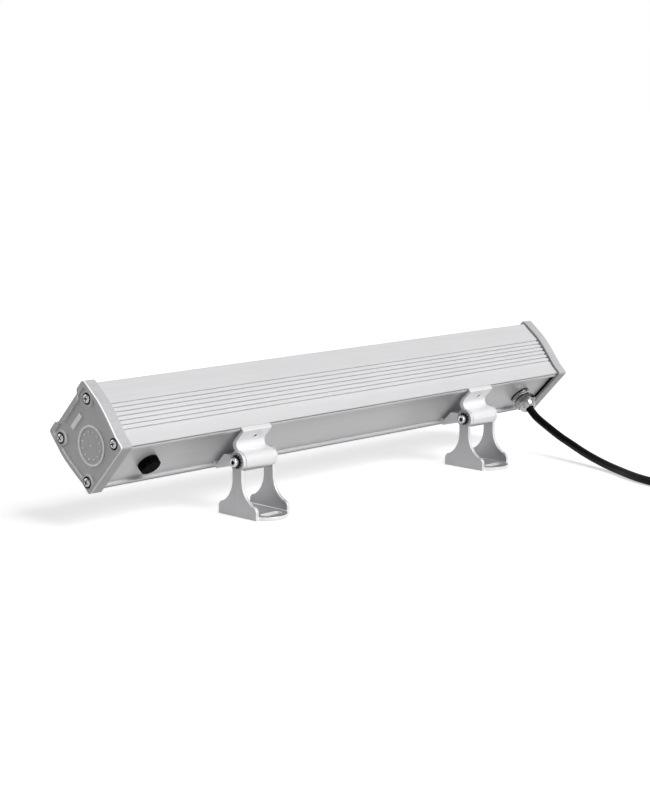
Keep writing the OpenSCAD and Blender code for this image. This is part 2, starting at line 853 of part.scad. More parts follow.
// Driver case, open on top, with a hole for wires in each end
module driver_case() {
    color("dimgray") in_light() translate([driver_x, 0, driver_floor_h]) difference() {
        translate([0, 0, (driver_h - lid_t) / 2])
            cube([driver_l, driver_w, driver_h - lid_t], center = true);
        translate([0, 0, driver_wall + driver_h / 2]) cube(
            [driver_l - 2 * driver_wall, driver_w - 2 * driver_wall, driver_h], center = true);
        translate([0, 0, driver_h / 2]) {
            for (s = [-1, 1]) translate([-driver_l / 2, s * lead_pitch, 0])
                bar_x(lead_r + lead_gap, 4 * driver_wall);
            for (s = [-1 : 1]) translate([driver_l / 2, s * 3 * core_r, 0])
                bar_x(core_r + lead_gap, 4 * driver_wall);
        }
    }
}

module driver_lid() {
    color("gray") in_light() translate([driver_x, 0, driver_floor_h + driver_h - lid_t / 2])
        cube([driver_l, driver_w, lid_t], center = true);
}

module driver_board() {
    lift = driver_wall + driver_board_lift;
    inner_l = driver_l - 2 * (driver_wall + driver_fit);
    inner_w = driver_w - 2 * (driver_wall + driver_fit);
    color("darkgreen") in_light() translate([driver_x, 0, driver_floor_h]) {
        translate([0, 0, lift + driver_board_t / 2])
            cube([inner_l, inner_w, driver_board_t], center = true);
        for (x = [-1, 1], y = [-1, 1])
            translate([x * inner_l * 0.45, y * inner_w * 0.4, driver_wall])
                cylinder(r = driver_board_lift / 2, h = driver_board_lift + over);
    }
}

// Transformer, two capacitors and a heat-sinked switch on the driver's board
module driver_components() {
    top = driver_wall + driver_board_lift + driver_board_t;
    part_h = 0.45 * driver_h;
    color("darkorange") in_light() translate([driver_x, 0, driver_floor_h + top]) {
        translate([0, 0, part_h / 2])
            cube([0.12 * driver_l, 0.6 * driver_w, part_h], center = true);
        for (s = [-1, 1]) translate([0.25 * driver_l, s * 0.2 * driver_w, 0])
            cylinder(r = 0.15 * driver_w, h = part_h);
        translate([-0.22 * driver_l, 0, part_h / 2])
            cube([0.05 * driver_l, 0.5 * driver_w, part_h], center = true);
    }
}

module driver_pad() {
    color("lightblue") in_light() translate([driver_x, 0, inner_floor_h + pad_t / 2])
        cube([driver_l, driver_w - 2 * driver_wall, pad_t], center = true);
}

// Three insulated cores from the cable's end inside the gland to the driver
module mains_cores() {
    end_x = driver_x + driver_l / 2;
    run_h = driver_floor_h + driver_h / 2;
    color("saddlebrown") in_light() for (i = [-1 : 1]) {
        side_end = i * 3 * core_r;
        side_start = gland_side + i * 1.9 * core_r;
        tube([
            [gland_x, side_start, cable_end_h],
            [gland_x - core_r, side_start, cable_end_h + 2 * core_r],
            [gland_x - 6 * core_r, (side_start + side_end) / 2, run_h],
            [(gland_x + end_x) / 2, side_end, run_h], [end_x - driver_wall, side_end, run_h]
        ], core_r, 8, [0, 1, 0]);
    }
}

// Gland: flanged hexagon, thread through the wall and a neck that the cap nut screws on
module gland_body() {
    color("silver") on_face(gland_x, gland_side) difference() {
        union() {
            translate([0, 0, ring_seal_t]) rotate(gland_turn) hexagon(gland_af, gland_hex_h);
            translate([0, 0, -gland_stem_l])
                cylinder(r = gland_r, h = gland_stem_l + ring_seal_t + over);
            translate([0, 0, gland_body_top - over])
                cylinder(r = gland_neck_r, h = gland_neck_h + over);
        }
        translate([0, 0, -gland_stem_l - over])
            cylinder(r = cable_hole_r, h = gland_stem_l + gland_body_top + gland_neck_h + 2 * over);
        translate([0, 0, gland_body_top + gland_neck_h - gland_seat_d])
            cylinder(r = gland_seat_r + bush_gap, h = gland_seat_d + over);
    }
}

module seal_ring(inner_r, outer_r) {
    difference() {
        cylinder(r = outer_r, h = ring_seal_t);
        translate([0, 0, -over]) cylinder(r = inner_r, h = ring_seal_t + 2 * over);
    }
}

module gland_seal_ring() {
    color("black") on_face(gland_x, gland_side) seal_ring(gland_hole_r, gland_ring_r);
}

// Rubber bush that the cap nut squeezes on the cable
module gland_bush() {
    base = gland_body_top + gland_neck_h - gland_seat_d;
    color("black") on_face(gland_x, gland_side) translate([0, 0, base]) difference() {
        cylinder(r = gland_seat_r, h = gland_seat_d + gland_nut_skin);
        translate([0, 0, -over])
            cylinder(r = cable_r + bush_gap, h = gland_seat_d + gland_nut_skin + 2 * over);
    }
}

// Cap nut: hexagon below, domed above, with a hole for the cable
module gland_cap_nut() {
    hex_h = gland_nut_hex_share * gland_nut_h;
    crown = gland_nut_h - hex_h;
    bore_h = gland_body_top + gland_neck_h + gland_nut_skin - gland_nut_base;
    color("silver") on_face(gland_x, gland_side) translate([0, 0, gland_nut_base]) difference() {
        union() {
            rotate(gland_turn) hexagon(gland_af, hex_h);
            translate([0, 0, hex_h - over]) rotate_extrude() polygon(concat(
                [[0, 0], [gland_af / 2 - 2 * edge, 0]],
                [for (a = [0 : 90 / steps : 90]) [
                    gland_nut_crown_r + (gland_af / 2 - 2 * edge - gland_nut_crown_r) * cos(a),
                    over + crown * sin(a)
                ]],
                [[0, over + crown]]
            ));
        }
        translate([0, 0, -over]) cylinder(r = cable_hole_r, h = gland_nut_h + 2 * over);
        translate([0, 0, -over]) cylinder(r = gland_neck_r + bush_gap, h = bore_h + over);
    }
}

// Nut inside the housing that pulls a thread tight on the floor of the channel
module inside_nut(across, bore_r) {
    translate([0, 0, -floor_t - locknut_h]) difference() {
        hexagon(across, locknut_h);
        translate([0, 0, -over]) cylinder(r = bore_r, h = locknut_h + 2 * over);
    }
}

module gland_locknut() {
    color("silver") on_face(gland_x, gland_side) inside_nut(gland_locknut_af, gland_hole_r);
}

// Vent: flange and thread, with a bore that lets the housing breathe
module vent_body() {
    base = ring_seal_t;
    color("#202020") on_face(vent_x, vent_side) difference() {
        union() {
            translate([0, 0, base]) cylinder(r = vent_cover_r, h = vent_flange_h);
            translate([0, 0, -vent_stem_l]) cylinder(r = vent_r, h = vent_stem_l + base + over);
        }
        translate([0, 0, -vent_stem_l - over])
            cylinder(r = vent_bore_r, h = vent_stem_l + base + vent_flange_h + 2 * over);
    }
}

module vent_membrane() {
    color("white") on_face(vent_x, vent_side) translate([0, 0, ring_seal_t + vent_flange_h])
        cylinder(r = membrane_r, h = membrane_t);
}

// Round cover over the membrane, with slots under its edge for air
module vent_cover() {
    color("#181818") on_face(vent_x, vent_side) translate([0, 0, ring_seal_t + vent_flange_h])
        difference() {
            rotate_extrude() polygon([
                [0, 0], [vent_cover_r, 0], [vent_cover_r, vent_cover_h - 2 * edge],
                [vent_cover_r - 2 * edge, vent_cover_h], [0, vent_cover_h]
            ]);
            translate([0, 0, -over]) cylinder(r = vent_cavity_r, h = vent_cavity_h + over);
            for (i = [0 : vent_slots - 1]) rotate(360 * i / vent_slots)
                translate([vent_cover_r, 0, 0])
                    cube([vent_cover_r, vent_slot_w, vent_cavity_h], center = true);
        }
}

module vent_seal_ring() {
    color("black") on_face(vent_x, vent_side) seal_ring(vent_hole_r, vent_cover_r - thread_gap);
}

module vent_nut() {
    color("#303030") on_face(vent_x, vent_side) inside_nut(vent_nut_af, vent_hole_r);
}

module cable() {
    color("#202020") tube(cable_route, cable_r, cable_sides, [0, 0, 1]);
}

// Outer shape of the flat coil
module cable_coil() {
    color("#282828") translate([coil_x, coil_y, 0]) rotate_extrude()
        translate([coil_in_r, 0]) square([coil_out_r - coil_in_r, coil_h]);
}

// Band round the turns of the coil, with its locking head on top
module coil_tie() {
    across = coil_out_r - coil_in_r;
    middle = (coil_out_r + coil_in_r) / 2;
    color("black") translate([coil_x, coil_y, 0]) rotate(tie_turn) translate([middle, 0, 0]) {
        difference() {
            translate([0, 0, coil_h / 2])
                cube([across + 2 * tie_t, tie_w, coil_h + 2 * tie_t], center = true);
            translate([0, 0, coil_h / 2]) cube([across, 2 * tie_w, coil_h], center = true);
            translate([0, 0, -tie_t]) cube([2 * across, 2 * tie_w, 2 * tie_t], center = true);
        }
        translate([across / 4, 0, coil_h + tie_head_h / 2])
            cube([tie_head_w, tie_head_w, tie_head_h], center = true);
    }
}

// Route of one core of the bare end, beside the others
function end_core_points(i) = [
    for (k = [0 : len(end_core_route) - 1])
        let (t = heading(end_core_route, k), n = unit(cross([0, 0, 1], t)))
            end_core_route[k] + i * end_core_step * n
];

module cable_end_cores() {
    color("steelblue") for (i = [-1 : 1]) tube(end_core_points(i), end_core_r, 8, [0, 0, 1]);
}

module core_ferrules() {
    last = len(end_core_route) - 1;
    color("silver") for (i = [-1 : 1]) {
        t = heading(end_core_route, last);
        tip = end_core_points(i)[last];
        tube([tip, tip + ferrule_l * t], ferrule_r, 8, [0, 0, 1]);
    }
}

// Section of a clamp without its hollow and knuckle: hook, leaf, web, leg and toe
module clamp_outline() {
    knuckle_angle = atan2(web_q - pivot_q, web_p - pivot_p);
    polygon(concat(
        [[hook_out_p, nose_high_q], [nose_p, nose_high_q], [nose_p, nose_low_q],
            [hook_in_p, nose_low_q], [hook_in_p, leaf_in_q]],
        [[toe_p - toe_root_w, leaf_in_q], [toe_p - toe_root_w, toe_high_q],
            [toe_tip_p, toe_high_q], [toe_tip_p, nose_low_q], [toe_p, nose_low_q],
            [toe_p, leaf_in_q]],
        [[leg_tip_p, leaf_in_q], [leg_tip_p, leaf_in_q - leg_tip_t / 2],
            [leg_tip_p - leg_tip_t / 3, leaf_in_q - leg_tip_t]],
        [[pivot_p + leg_root_r * cos(leg_turn), pivot_q + leg_root_r * sin(leg_turn)],
            [pivot_p, pivot_q]],
        arc(web_p, web_q, web_r, knuckle_angle - 180, 90),
        [[hook_out_p + edge, leaf_out_q], [hook_out_p, leaf_out_q + edge]]
    ));
}

// Hollow between the leaf, the knuckle and the leg, open towards the light
module clamp_hollow() {
    polygon(concat(
        [[leg_rest_p, over], [leg_rest_p, leaf_in_q], [leg_in_p, hollow_low_q]],
        [[hollow_p, hollow_low_q]],
        arc(hollow_p - hollow_r, leaf_in_q - hollow_r, hollow_r, 0, 90),
        [[hollow_p - hollow_r, over]]
    ));
}

module clamp(x) {
    color("whitesmoke") on_section(x) difference() {
        union() {
            along_x(clamp_l) clamp_outline();
            translate([0, pivot_p, pivot_q]) bar_x(knuckle_r, clamp_l);
        }
        along_x(clamp_l + 2 * over) clamp_hollow();
        translate([0, pivot_p, pivot_q]) bar_x(bolt_r + bolt_fit, clamp_l + 2 * over);
        translate([lock_screw_x, lock_screw_p, leaf_out_q - over])
            cylinder(r = lock_screw_r + lock_screw_fit, h = leaf_t + 3 * over);
    }
}

module left_clamp() {
    clamp(-feet_span / 2);
}

module right_clamp() {
    clamp(feet_span / 2);
}

// Headless screw with a hexagonal socket, pressed on the floor of the channel
module lock_screw(x) {
    color("dimgray") on_section(x) translate([lock_screw_x, lock_screw_p, channel_d]) difference() {
        translate([0, 0, -lock_screw_l]) cylinder(r = lock_screw_r, h = lock_screw_l);
        translate([0, 0, -lock_screw_l - over]) cylinder(r = lock_socket_r, h = lock_socket_d + over, $fn = 6);
    }
}

module left_lock_screw() {
    lock_screw(-feet_span / 2);
}

module right_lock_screw() {
    lock_screw(feet_span / 2);
}

// Outline of a foot's ear: round head, narrow waist and a wide base
module ear_outline() {
    half = ear_base_w / 2;
    flare_start = -acos((flare_y - flare_end_y) / flare_r);
    corner_top = flare_top_h - sqrt(pow(flare_r, 2) - pow(flare_y - flare_end_y, 2));
    polygon(both_sides(concat(
        [[half, 0]],
        arc(flare_end_y, corner_top - ear_corner_r, ear_corner_r, 0, 90),
        [for (i = [1 : steps]) let (a = flare_start * (steps - i) / steps)
            [flare_y - flare_r * cos(a), flare_top_h + flare_r * sin(a)]],
        [[ear_waist_w / 2, pivot_h]]
    )));
    translate([0, pivot_h]) circle(ear_head_r);
}

// Base between the ears, with two round ends
module base_outline() {
    square([foot_in_w + foot_t, ear_base_w], center = true);
    for (s = [-1, 1]) intersection() {
        translate([0, s * (base_l / 2 - lobe_r)]) circle(lobe_r);
        square([foot_in_w, base_l], center = true);
    }
}

module slot_2d() {
    straight = slot_l - slot_w;
    square([straight, slot_w], center = true);
    for (s = [-1, 1]) translate([s * straight / 2, 0]) circle(d = slot_w);
}

module foot(x) {
    ear_x = (foot_in_w + foot_t) / 2;
    color("lightgray") translate([x, 0, 0]) difference() {
        union() {
            for (s = [-1, 1]) translate([s * ear_x, 0, 0]) along_x(foot_t) ear_outline();
            linear_extrude(foot_t) base_outline();
        }
        for (s = [-1, 1]) translate([0, s * slot_span / 2, -over])
            linear_extrude(foot_t + 2 * over) slot_2d();
        translate([0, 0, pivot_h]) bar_x(bolt_hole_r, foot_out_w + 2 * over);
    }
}

module left_foot() {
    foot(-feet_span / 2);
}

module right_foot() {
    foot(feet_span / 2);
}

// Places pieces of swivel hardware on the axis, with Z pointing along +X
module on_axis(x) {
    translate([x, 0, pivot_h]) rotate([0, 90, 0]) children();
}

// Socket-head bolt through both ears and the knuckle
module swivel_bolt(x) {
    head_base = -foot_out_w / 2 - washer_t;
    length = foot_out_w + 2 * washer_t + nut_h + bolt_tail;
    color("gainsboro") on_axis(x) translate([0, 0, head_base]) difference() {
        union() {
            cylinder(r = bolt_r, h = length);
            translate([0, 0, -bolt_head_h]) cylinder(r = bolt_head_r, h = bolt_head_h);
        }
        translate([0, 0, -bolt_head_h - over]) hexagon(socket_af, socket_d + over);
    }
}

module left_swivel_bolt() {
    swivel_bolt(-feet_span / 2);
}

module right_swivel_bolt() {
    swivel_bolt(feet_span / 2);
}

module toothed_washer(x) {
    color("gray") on_axis(x) translate([0, 0, -foot_out_w / 2 - washer_t]) difference() {
        cylinder(r = star_r, h = washer_t);
        translate([0, 0, -over]) cylinder(r = bolt_hole_r, h = washer_t + 2 * over);
        for (i = [0 : star_teeth - 1]) rotate(360 * i / star_teeth) translate([star_r, 0, washer_t / 2])
            cube([2 * star_notch_d, star_notch_w, washer_t + 2 * over], center = true);
    }
}

module left_toothed_washer() {
    toothed_washer(-feet_span / 2);
}

module right_toothed_washer() {
    toothed_washer(feet_span / 2);
}

module plain_washer(x) {
    color("silver") on_axis(x) translate([0, 0, foot_out_w / 2]) difference() {
        cylinder(r = washer_r, h = washer_t);
        translate([0, 0, -over]) cylinder(r = bolt_hole_r, h = washer_t + 2 * over);
    }
}

module left_plain_washer() {
    plain_washer(-feet_span / 2);
}

module right_plain_washer() {
    plain_washer(feet_span / 2);
}

module swivel_nut(x) {
    color("silver") on_axis(x) translate([0, 0, foot_out_w / 2 + washer_t]) difference() {
        hexagon(nut_af, nut_h);
        translate([0, 0, -over]) cylinder(r = bolt_r + bolt_fit, h = nut_h + 2 * over);
    }
}

module left_swivel_nut() {
    swivel_nut(-feet_span / 2);
}

module right_swivel_nut() {
    swivel_nut(feet_span / 2);
}

housing();
left_end_cap();
right_end_cap();
left_cap_gasket();
right_cap_gasket();
left_cap_screws();
right_cap_screws();
glass();
glass_seal();
led_board();
led_emitters();
lens_holders();
lenses();
board_screws();
led_leads();
driver_case();
driver_lid();
driver_board();
driver_components();
driver_pad();
mains_cores();
gland_body();
gland_seal_ring();
gland_bush();
gland_cap_nut();
gland_locknut();
vent_body();
vent_cover();
vent_membrane();
vent_seal_ring();
vent_nut();
cable();
cable_coil();
coil_tie();
cable_end_cores();
core_ferrules();
left_clamp();
right_clamp();
left_lock_screw();
right_lock_screw();
left_foot();
right_foot();
left_swivel_bolt();
right_swivel_bolt();
left_toothed_washer();
right_toothed_washer();
left_plain_washer();
right_plain_washer();
left_swivel_nut();
right_swivel_nut();
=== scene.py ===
"""Outdoor wall washer light: its finishes, small parts, supply cable, studio and camera.

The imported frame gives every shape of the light. This script breaks the edges of those
shapes, gives each one its finish, and makes the parts that need more detail than a plain
solid has: screws, washers, nuts, the gland, the vent and the supply cable.
"""

import json
import logging
import math
from collections.abc import Callable
from dataclasses import dataclass, field
from enum import Enum

import bmesh
import bpy
from mathutils import Matrix, Vector


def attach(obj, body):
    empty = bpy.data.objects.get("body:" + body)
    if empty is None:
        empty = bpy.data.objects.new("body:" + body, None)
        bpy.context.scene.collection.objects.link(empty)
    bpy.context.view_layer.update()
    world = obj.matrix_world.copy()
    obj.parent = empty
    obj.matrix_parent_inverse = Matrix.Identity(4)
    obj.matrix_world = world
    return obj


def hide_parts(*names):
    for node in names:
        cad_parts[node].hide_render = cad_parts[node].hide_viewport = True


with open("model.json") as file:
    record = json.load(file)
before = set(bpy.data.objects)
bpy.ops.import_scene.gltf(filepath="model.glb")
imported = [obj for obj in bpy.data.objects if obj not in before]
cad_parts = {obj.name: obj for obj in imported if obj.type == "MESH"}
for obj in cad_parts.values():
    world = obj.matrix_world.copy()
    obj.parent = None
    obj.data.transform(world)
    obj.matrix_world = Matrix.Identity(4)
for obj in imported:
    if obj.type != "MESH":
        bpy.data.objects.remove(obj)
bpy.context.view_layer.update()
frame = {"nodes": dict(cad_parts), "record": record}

MM = 0.001
TURN = 2 * math.pi
LIGHT_BODY = "light"
WHITE = (1.0, 1.0, 1.0, 1.0)
HERE = Matrix.Identity(4)

Tone = tuple[float, float, float]
Point = tuple[float, float, float]
Reach = Callable[[float], float]
Ring = tuple[float | Reach, ...]

log = logging.getLogger("wall_washer")


class Side(Enum):
    """The two ends of the light, with the sign of X on each."""

    LEFT = -1
    RIGHT = 1

    @property
    def word(self) -> str:
        """The side's word in the names of its pieces."""
        return self.name.lower()


class Grain(Enum):
    """The direction that tool marks run in, as stretches along X, Y and Z."""

    ALONG_LIGHT = (0.012, 1.0, 1.0)
    UPRIGHT = (1.0, 1.0, 0.02)
    EVEN = (1.0, 1.0, 1.0)


class Signal:
    """A value in a shader that Python's operators work on."""

    def __init__(self, graph: "Graph", socket: bpy.types.NodeSocket) -> None:
        """Wraps one output socket of a graph.

        Args:
            graph: the graph that the socket belongs to.
            socket: the output socket that carries the value.
        """
        self.graph = graph
        self.socket = socket

    def maths(self, operation: str, *values: "Signal | float") -> "Signal":
        """Adds one Math node.

        Args:
            operation: Blender's name of the operation.
            values: the operands in their order.

        Returns:
            The result as a signal.
        """
        return self.graph.node(
            "ShaderNodeMath", {"operation": operation}, dict(enumerate(values))
        )

    def __add__(self, other: "Signal | float") -> "Signal":
        """This value plus another."""
        return self.maths("ADD", self, other)

    def __radd__(self, other: float) -> "Signal":
        """A number plus this value."""
        return self.maths("ADD", other, self)

    def __sub__(self, other: "Signal | float") -> "Signal":
        """This value less another."""
        return self.maths("SUBTRACT", self, other)

    def __rsub__(self, other: float) -> "Signal":
        """A number less this value."""
        return self.maths("SUBTRACT", other, self)

    def __mul__(self, other: "Signal | float") -> "Signal":
        """This value times another."""
        return self.maths("MULTIPLY", self, other)

    def __rmul__(self, other: float) -> "Signal":
        """A number times this value."""
        return self.maths("MULTIPLY", other, self)

    def largest(self, other: "Signal | float") -> "Signal":
        """The larger of this value and another."""
        return self.maths("MAXIMUM", self, other)

    def size(self) -> "Signal":
        """This value without its sign."""
        return self.largest(self * -1.0)

    def step(self, low: float, high: float) -> "Signal":
        """A smooth step between two levels.

        Args:
            low: the level where the step is 0.
            high: the level where it is 1.

        Returns:
            The step's value.
        """
        return self.graph.node(
            "ShaderNodeMapRange",
            {"interpolation_type": "SMOOTHSTEP"},
            {"Value": self, "From Min": low, "From Max": high},
            "Result",
        )


class Graph:
    """The nodes of one material or world."""

    def __init__(self, tree: bpy.types.NodeTree) -> None:
        """Empties a node tree and keeps it.

        Args:
            tree: the tree of a material or a world.
        """
        self.tree = tree
        self.tree.nodes.clear()

    def node(
        self,
        kind: str,
        settings: dict | None = None,
        inputs: dict | None = None,
        output: str | int = 0,
    ) -> Signal:
        """Adds one node.

        Args:
            kind: the node's type.
            settings: its attributes, such as a Math node's operation, which are set first.
            inputs: values or signals, by the name or number of their socket.
            output: the name or number of the socket that is wanted.

        Returns:
            That output as a signal.
        """
        made = self.tree.nodes.new(kind)
        for name, value in (settings or {}).items():
            setattr(made, name, value)
        for key, value in (inputs or {}).items():
            socket = made.inputs[key]
            if isinstance(value, Signal):
                self.tree.links.new(value.socket, socket)
            else:
                socket.default_value = value
        return Signal(self, made.outputs[output]) if made.outputs else Signal(self, None)

    def places(self, scale: float, grain: Grain = Grain.EVEN) -> Signal:
        """Object coordinates, scaled and stretched.

        Args:
            scale: how many units of the pattern fit in a metre.
            grain: the direction that the pattern is stretched in.

        Returns:
            The vector for a texture.
        """
        where = self.node("ShaderNodeTexCoord", output="Object")
        factors = tuple(scale * share for share in grain.value)
        return self.node("ShaderNodeVectorMath", {"operation": "MULTIPLY"}, {0: where, 1: factors})

    def noise(
        self, scale: float, detail: float = 2.0, grain: Grain = Grain.EVEN
    ) -> Signal:
        """Soft noise between about 0.3 and 0.7.

        Args:
            scale: how many grains fit in a metre.
            detail: how many finer layers are added.
            grain: the direction that the grains are stretched in.

        Returns:
            The noise's value.
        """
        return self.node(
            "ShaderNodeTexNoise",
            None,
            {"Vector": self.places(scale, grain), "Scale": 1.0, "Detail": detail},
            0,
        )

    def specks(self, scale: float) -> Signal:
        """Distance to the nearest of many scattered points.

        Args:
            scale: how many points fit in a metre.

        Returns:
            The distance, as a share of the space between the points.
        """
        return self.node(
            "ShaderNodeTexVoronoi", None, {"Vector": self.places(scale), "Scale": 1.0}, 0
        )

    def tint(
        self, share: "Signal | float", low: "Signal | Tone", high: "Signal | Tone"
    ) -> Signal:
        """Mixes two colours.

        Args:
            share: how much of the second colour shows.
            low: the colour at share 0.
            high: the colour at share 1.

        Returns:
            The mixed colour.
        """
        ends = [end if isinstance(end, Signal) else (*end, 1.0) for end in (low, high)]
        return self.node(
            "ShaderNodeMix", {"data_type": "RGBA"}, {0: share, 6: ends[0], 7: ends[1]}, 2
        )

    def part(self, kind: str, axis: int) -> Signal:
        """One part of the object's own coordinates or of its normal.

        Args:
            kind: "Object" or "Normal".
            axis: 0, 1 or 2 for X, Y or Z.

        Returns:
            The part's value.
        """
        where = self.node("ShaderNodeTexCoord", output=kind)
        return self.node("ShaderNodeSeparateXYZ", None, {0: where}, axis)

    def relief(self, height: Signal, depth: float, strength: float = 1.0) -> Signal:
        """A bump normal from a height.

        Args:
            height: the height between 0 and 1.
            depth: how deep the relief is, in metres.
            strength: how much of it shows.

        Returns:
            The normal.
        """
        return self.node(
            "ShaderNodeBump", None, {"Height": height, "Distance": depth, "Strength": strength}
        )

    def surface(self, inputs: dict) -> None:
        """Adds the surface shader and the output.

        Args:
            inputs: values and signals for the shader's sockets.
        """
        shader = self.node("ShaderNodeBsdfPrincipled", None, inputs)
        self.node("ShaderNodeOutputMaterial", None, {"Surface": shader})


@dataclass(frozen=True)
class Finish:
    """A finish that several pieces may share."""

    name: str
    tone: Tone
    roughness: float

    def dress(self, graph: Graph) -> None:
        """Builds the finish's nodes."""
        raise NotImplementedError

    def material(self) -> bpy.types.Material:
        """Finds the material of this finish, or makes it where there is none yet.

        Returns:
            The material.
        """
        label = f"finish_{self.name}"
        found = bpy.data.materials.get(label)
        if found is None:
            found = bpy.data.materials.new(label)
            found.use_nodes = True
            self.dress(Graph(found.node_tree))
            found.diffuse_color = (*self.tone, 1.0)
        return found

    def deeper(self, share: float) -> Tone:
        """The tone times a share."""
        return tuple(share * level for level in self.tone)


@dataclass(frozen=True)
class AnodisedMetal(Finish):
    """Satin anodised aluminium with fine marks of drawing or brushing."""

    grain: Grain = Grain.ALONG_LIGHT
    metallic: float = 0.2
    # Colour of faces that turn to ±Y, the cut edges: bare metal, and a painted highlight of the
    # front light.
    cut: Tone | None = None
    line_scale: float = 2600.0
    band_scale: float = 312.0
    cloud_scale: float = 14.0
    line_depth: float = 0.012 * MM

    def dress(self, graph: Graph) -> None:
        """Builds fine lines, a cloudy tone, a soft change of gloss, and cut edges that are painted
        lighter: bare cut metal, and a painted highlight.

        Args:
            graph: the graph of the finish's material.
        """
        lines = graph.noise(self.line_scale, 3.0, self.grain)
        bands = graph.noise(self.band_scale, 2.0, self.grain)
        cloud = graph.noise(self.cloud_scale, 2.0)
        share = (0.45 * lines + 0.3 * bands + 0.25 * cloud).step(0.3, 0.7)
        colour = graph.tint(share, self.deeper(0.95), self.deeper(1.03))
        if self.cut is not None:
            # Faces that turn to ±Y are painted lighter: bare cut metal, and a painted highlight of
            # the front light.
            lit_cut_edge = graph.part("Normal", 1).size().step(0.2, 0.4)
            colour = graph.tint(lit_cut_edge, colour, self.cut)
        graph.surface({
            "Base Color": colour,
            "Metallic": self.metallic,
            "Roughness": self.roughness + 0.12 * (lines - 0.5) + 0.06 * (cloud - 0.5),
            "Normal": graph.relief(0.6 * lines + 0.4 * bands, self.line_depth),
        })


@dataclass(frozen=True)
class PowderCoat(Finish):
    """Silver grey powder coat on a cast part, with its fine orange peel."""

    metallic: float = 0.3
    # Lighter colour of the raised marks and rims of a cap: worn paint, and a painted highlight.
    rubbed_and_highlight: Tone | None = None
    rub_highlight_from: tuple[float, float] = (248.55 * MM, 248.75 * MM)
    rub_highlight_to: tuple[float, float] = (249.75 * MM, 249.95 * MM)
    middle: float = -6.3 * MM
    rub_highlight_scale: float = 160.0
    peel_scale: float = 1500.0
    fine_scale: float = 5200.0
    flake_scale: float = 3800.0
    cloud_scale: float = 45.0
    mottle_scale: float = 420.0
    peel_depth: float = 0.04 * MM

    def rub_and_highlight(self, graph: Graph, coat: Signal) -> Signal:
        """Lightens the coat on the raised marks and round the rims of a cap, as worn paint and as a
        painted highlight.

        Args:
            graph: the finish's graph.
            coat: the colour of the coat.

        Returns:
            The colour with the worn paint and painted highlight.
        """
        # Raised marks and rims are painted lighter, in patches: worn paint, and a painted
        # highlight.
        out = (graph.part("Object", 0) - self.middle).size()
        raised = out.step(*self.rub_highlight_from) * (1.0 - out.step(*self.rub_highlight_to))
        worn = raised * graph.noise(self.rub_highlight_scale, 2.0).step(0.0, 0.35)
        return graph.tint(worn, coat, self.rubbed_and_highlight)

    def dress(self, graph: Graph) -> None:
        """Builds the peel, tiny flakes and a mottled, cloudy tone.

        Args:
            graph: the graph of the finish's material.
        """
        peel = graph.noise(self.peel_scale, 2.0)
        fine = graph.noise(self.fine_scale, 1.0)
        flakes = 1.0 - graph.specks(self.flake_scale).step(0.05, 0.35)
        cloud = graph.noise(self.cloud_scale, 3.0)
        mottle = graph.noise(self.mottle_scale, 2.0)
        share = 0.3 * cloud + 0.35 * mottle + 0.15 * fine + 0.2 * flakes
        coat = graph.tint(share.step(0.2, 0.7), self.deeper(0.86), self.deeper(1.1))
        graph.surface({
            "Base Color": coat if self.rubbed_and_highlight is None else self.rub_and_highlight(graph, coat),
            "Metallic": self.metallic,
            "Roughness": self.roughness + 0.14 * (fine - 0.5) - 0.1 * flakes,
            "Normal": graph.relief(0.7 * peel + 0.3 * fine, self.peel_depth, 0.8),
        })


@dataclass(frozen=True)
class MachinedMetal(Finish):
    """Bare or plated metal with tool marks and faint smudges."""

    mark_scale: float = 3000.0
    smudge_scale: float = 220.0
    mark_depth: float = 0.008 * MM
    least_roughness: float = 0.03

    def dress(self, graph: Graph) -> None:
        """Builds tool marks in the gloss, with smudges over them.

        Args:
            graph: the graph of the finish's material.
        """
        marks = graph.noise(self.mark_scale, 3.0)
        smudge = graph.noise(self.smudge_scale, 3.0)
        gloss = self.roughness + 0.1 * (marks - 0.5) + 0.12 * (smudge - 0.5)
        graph.surface({
            "Base Color": graph.tint(smudge.step(0.3, 0.7), self.deeper(0.9), self.deeper(1.04)),
            "Metallic": 1.0,
            "Roughness": gloss.largest(self.least_roughness),
            "Normal": graph.relief(marks, self.mark_depth, 0.6),
        })


@dataclass(frozen=True)
class MouldedPart(Finish):
    """Moulded plastic or rubber with a fine grain and a little dust."""

    grain_scale: float = 2400.0
    grain_depth: float = 0.02 * MM
    cloud_scale: float = 90.0
    dust: float = 0.02
    gloss: float = 0.5

    def dress(self, graph: Graph) -> None:
        """Builds the grain, a soft change of gloss and the dust.

        Args:
            graph: the graph of the finish's material.
        """
        grain = graph.noise(self.grain_scale, 2.0)
        cloud = graph.noise(self.cloud_scale, 3.0)
        dusty = tuple(level + self.dust for level in self.tone)
        graph.surface({
            "Base Color": graph.tint(cloud.step(0.35, 0.75), self.deeper(0.92), dusty),
            "Roughness": self.roughness + 0.16 * (cloud - 0.5) + 0.1 * (grain - 0.5),
            "Specular IOR Level": self.gloss,
            "Normal": graph.relief(grain, self.grain_depth, 0.7),
        })


@dataclass(frozen=True)
class ClearPart(Finish):
    """Glass or a clear moulded optic."""

    alpha: float = 0.3
    ior: float = 1.5
    smear_scale: float = 60.0

    def dress(self, graph: Graph) -> None:
        """Builds a clear body with faint smears in its gloss.

        Args:
            graph: the graph of the finish's material.
        """
        smear = graph.noise(self.smear_scale, 3.0)
        graph.surface({
            "Base Color": graph.tint(smear.step(0.35, 0.7), self.tone, self.deeper(1.05)),
            "Roughness": self.roughness + 0.05 * smear,
            "Alpha": self.alpha + 0.04 * (smear - 0.5),
            "IOR": self.ior,
        })


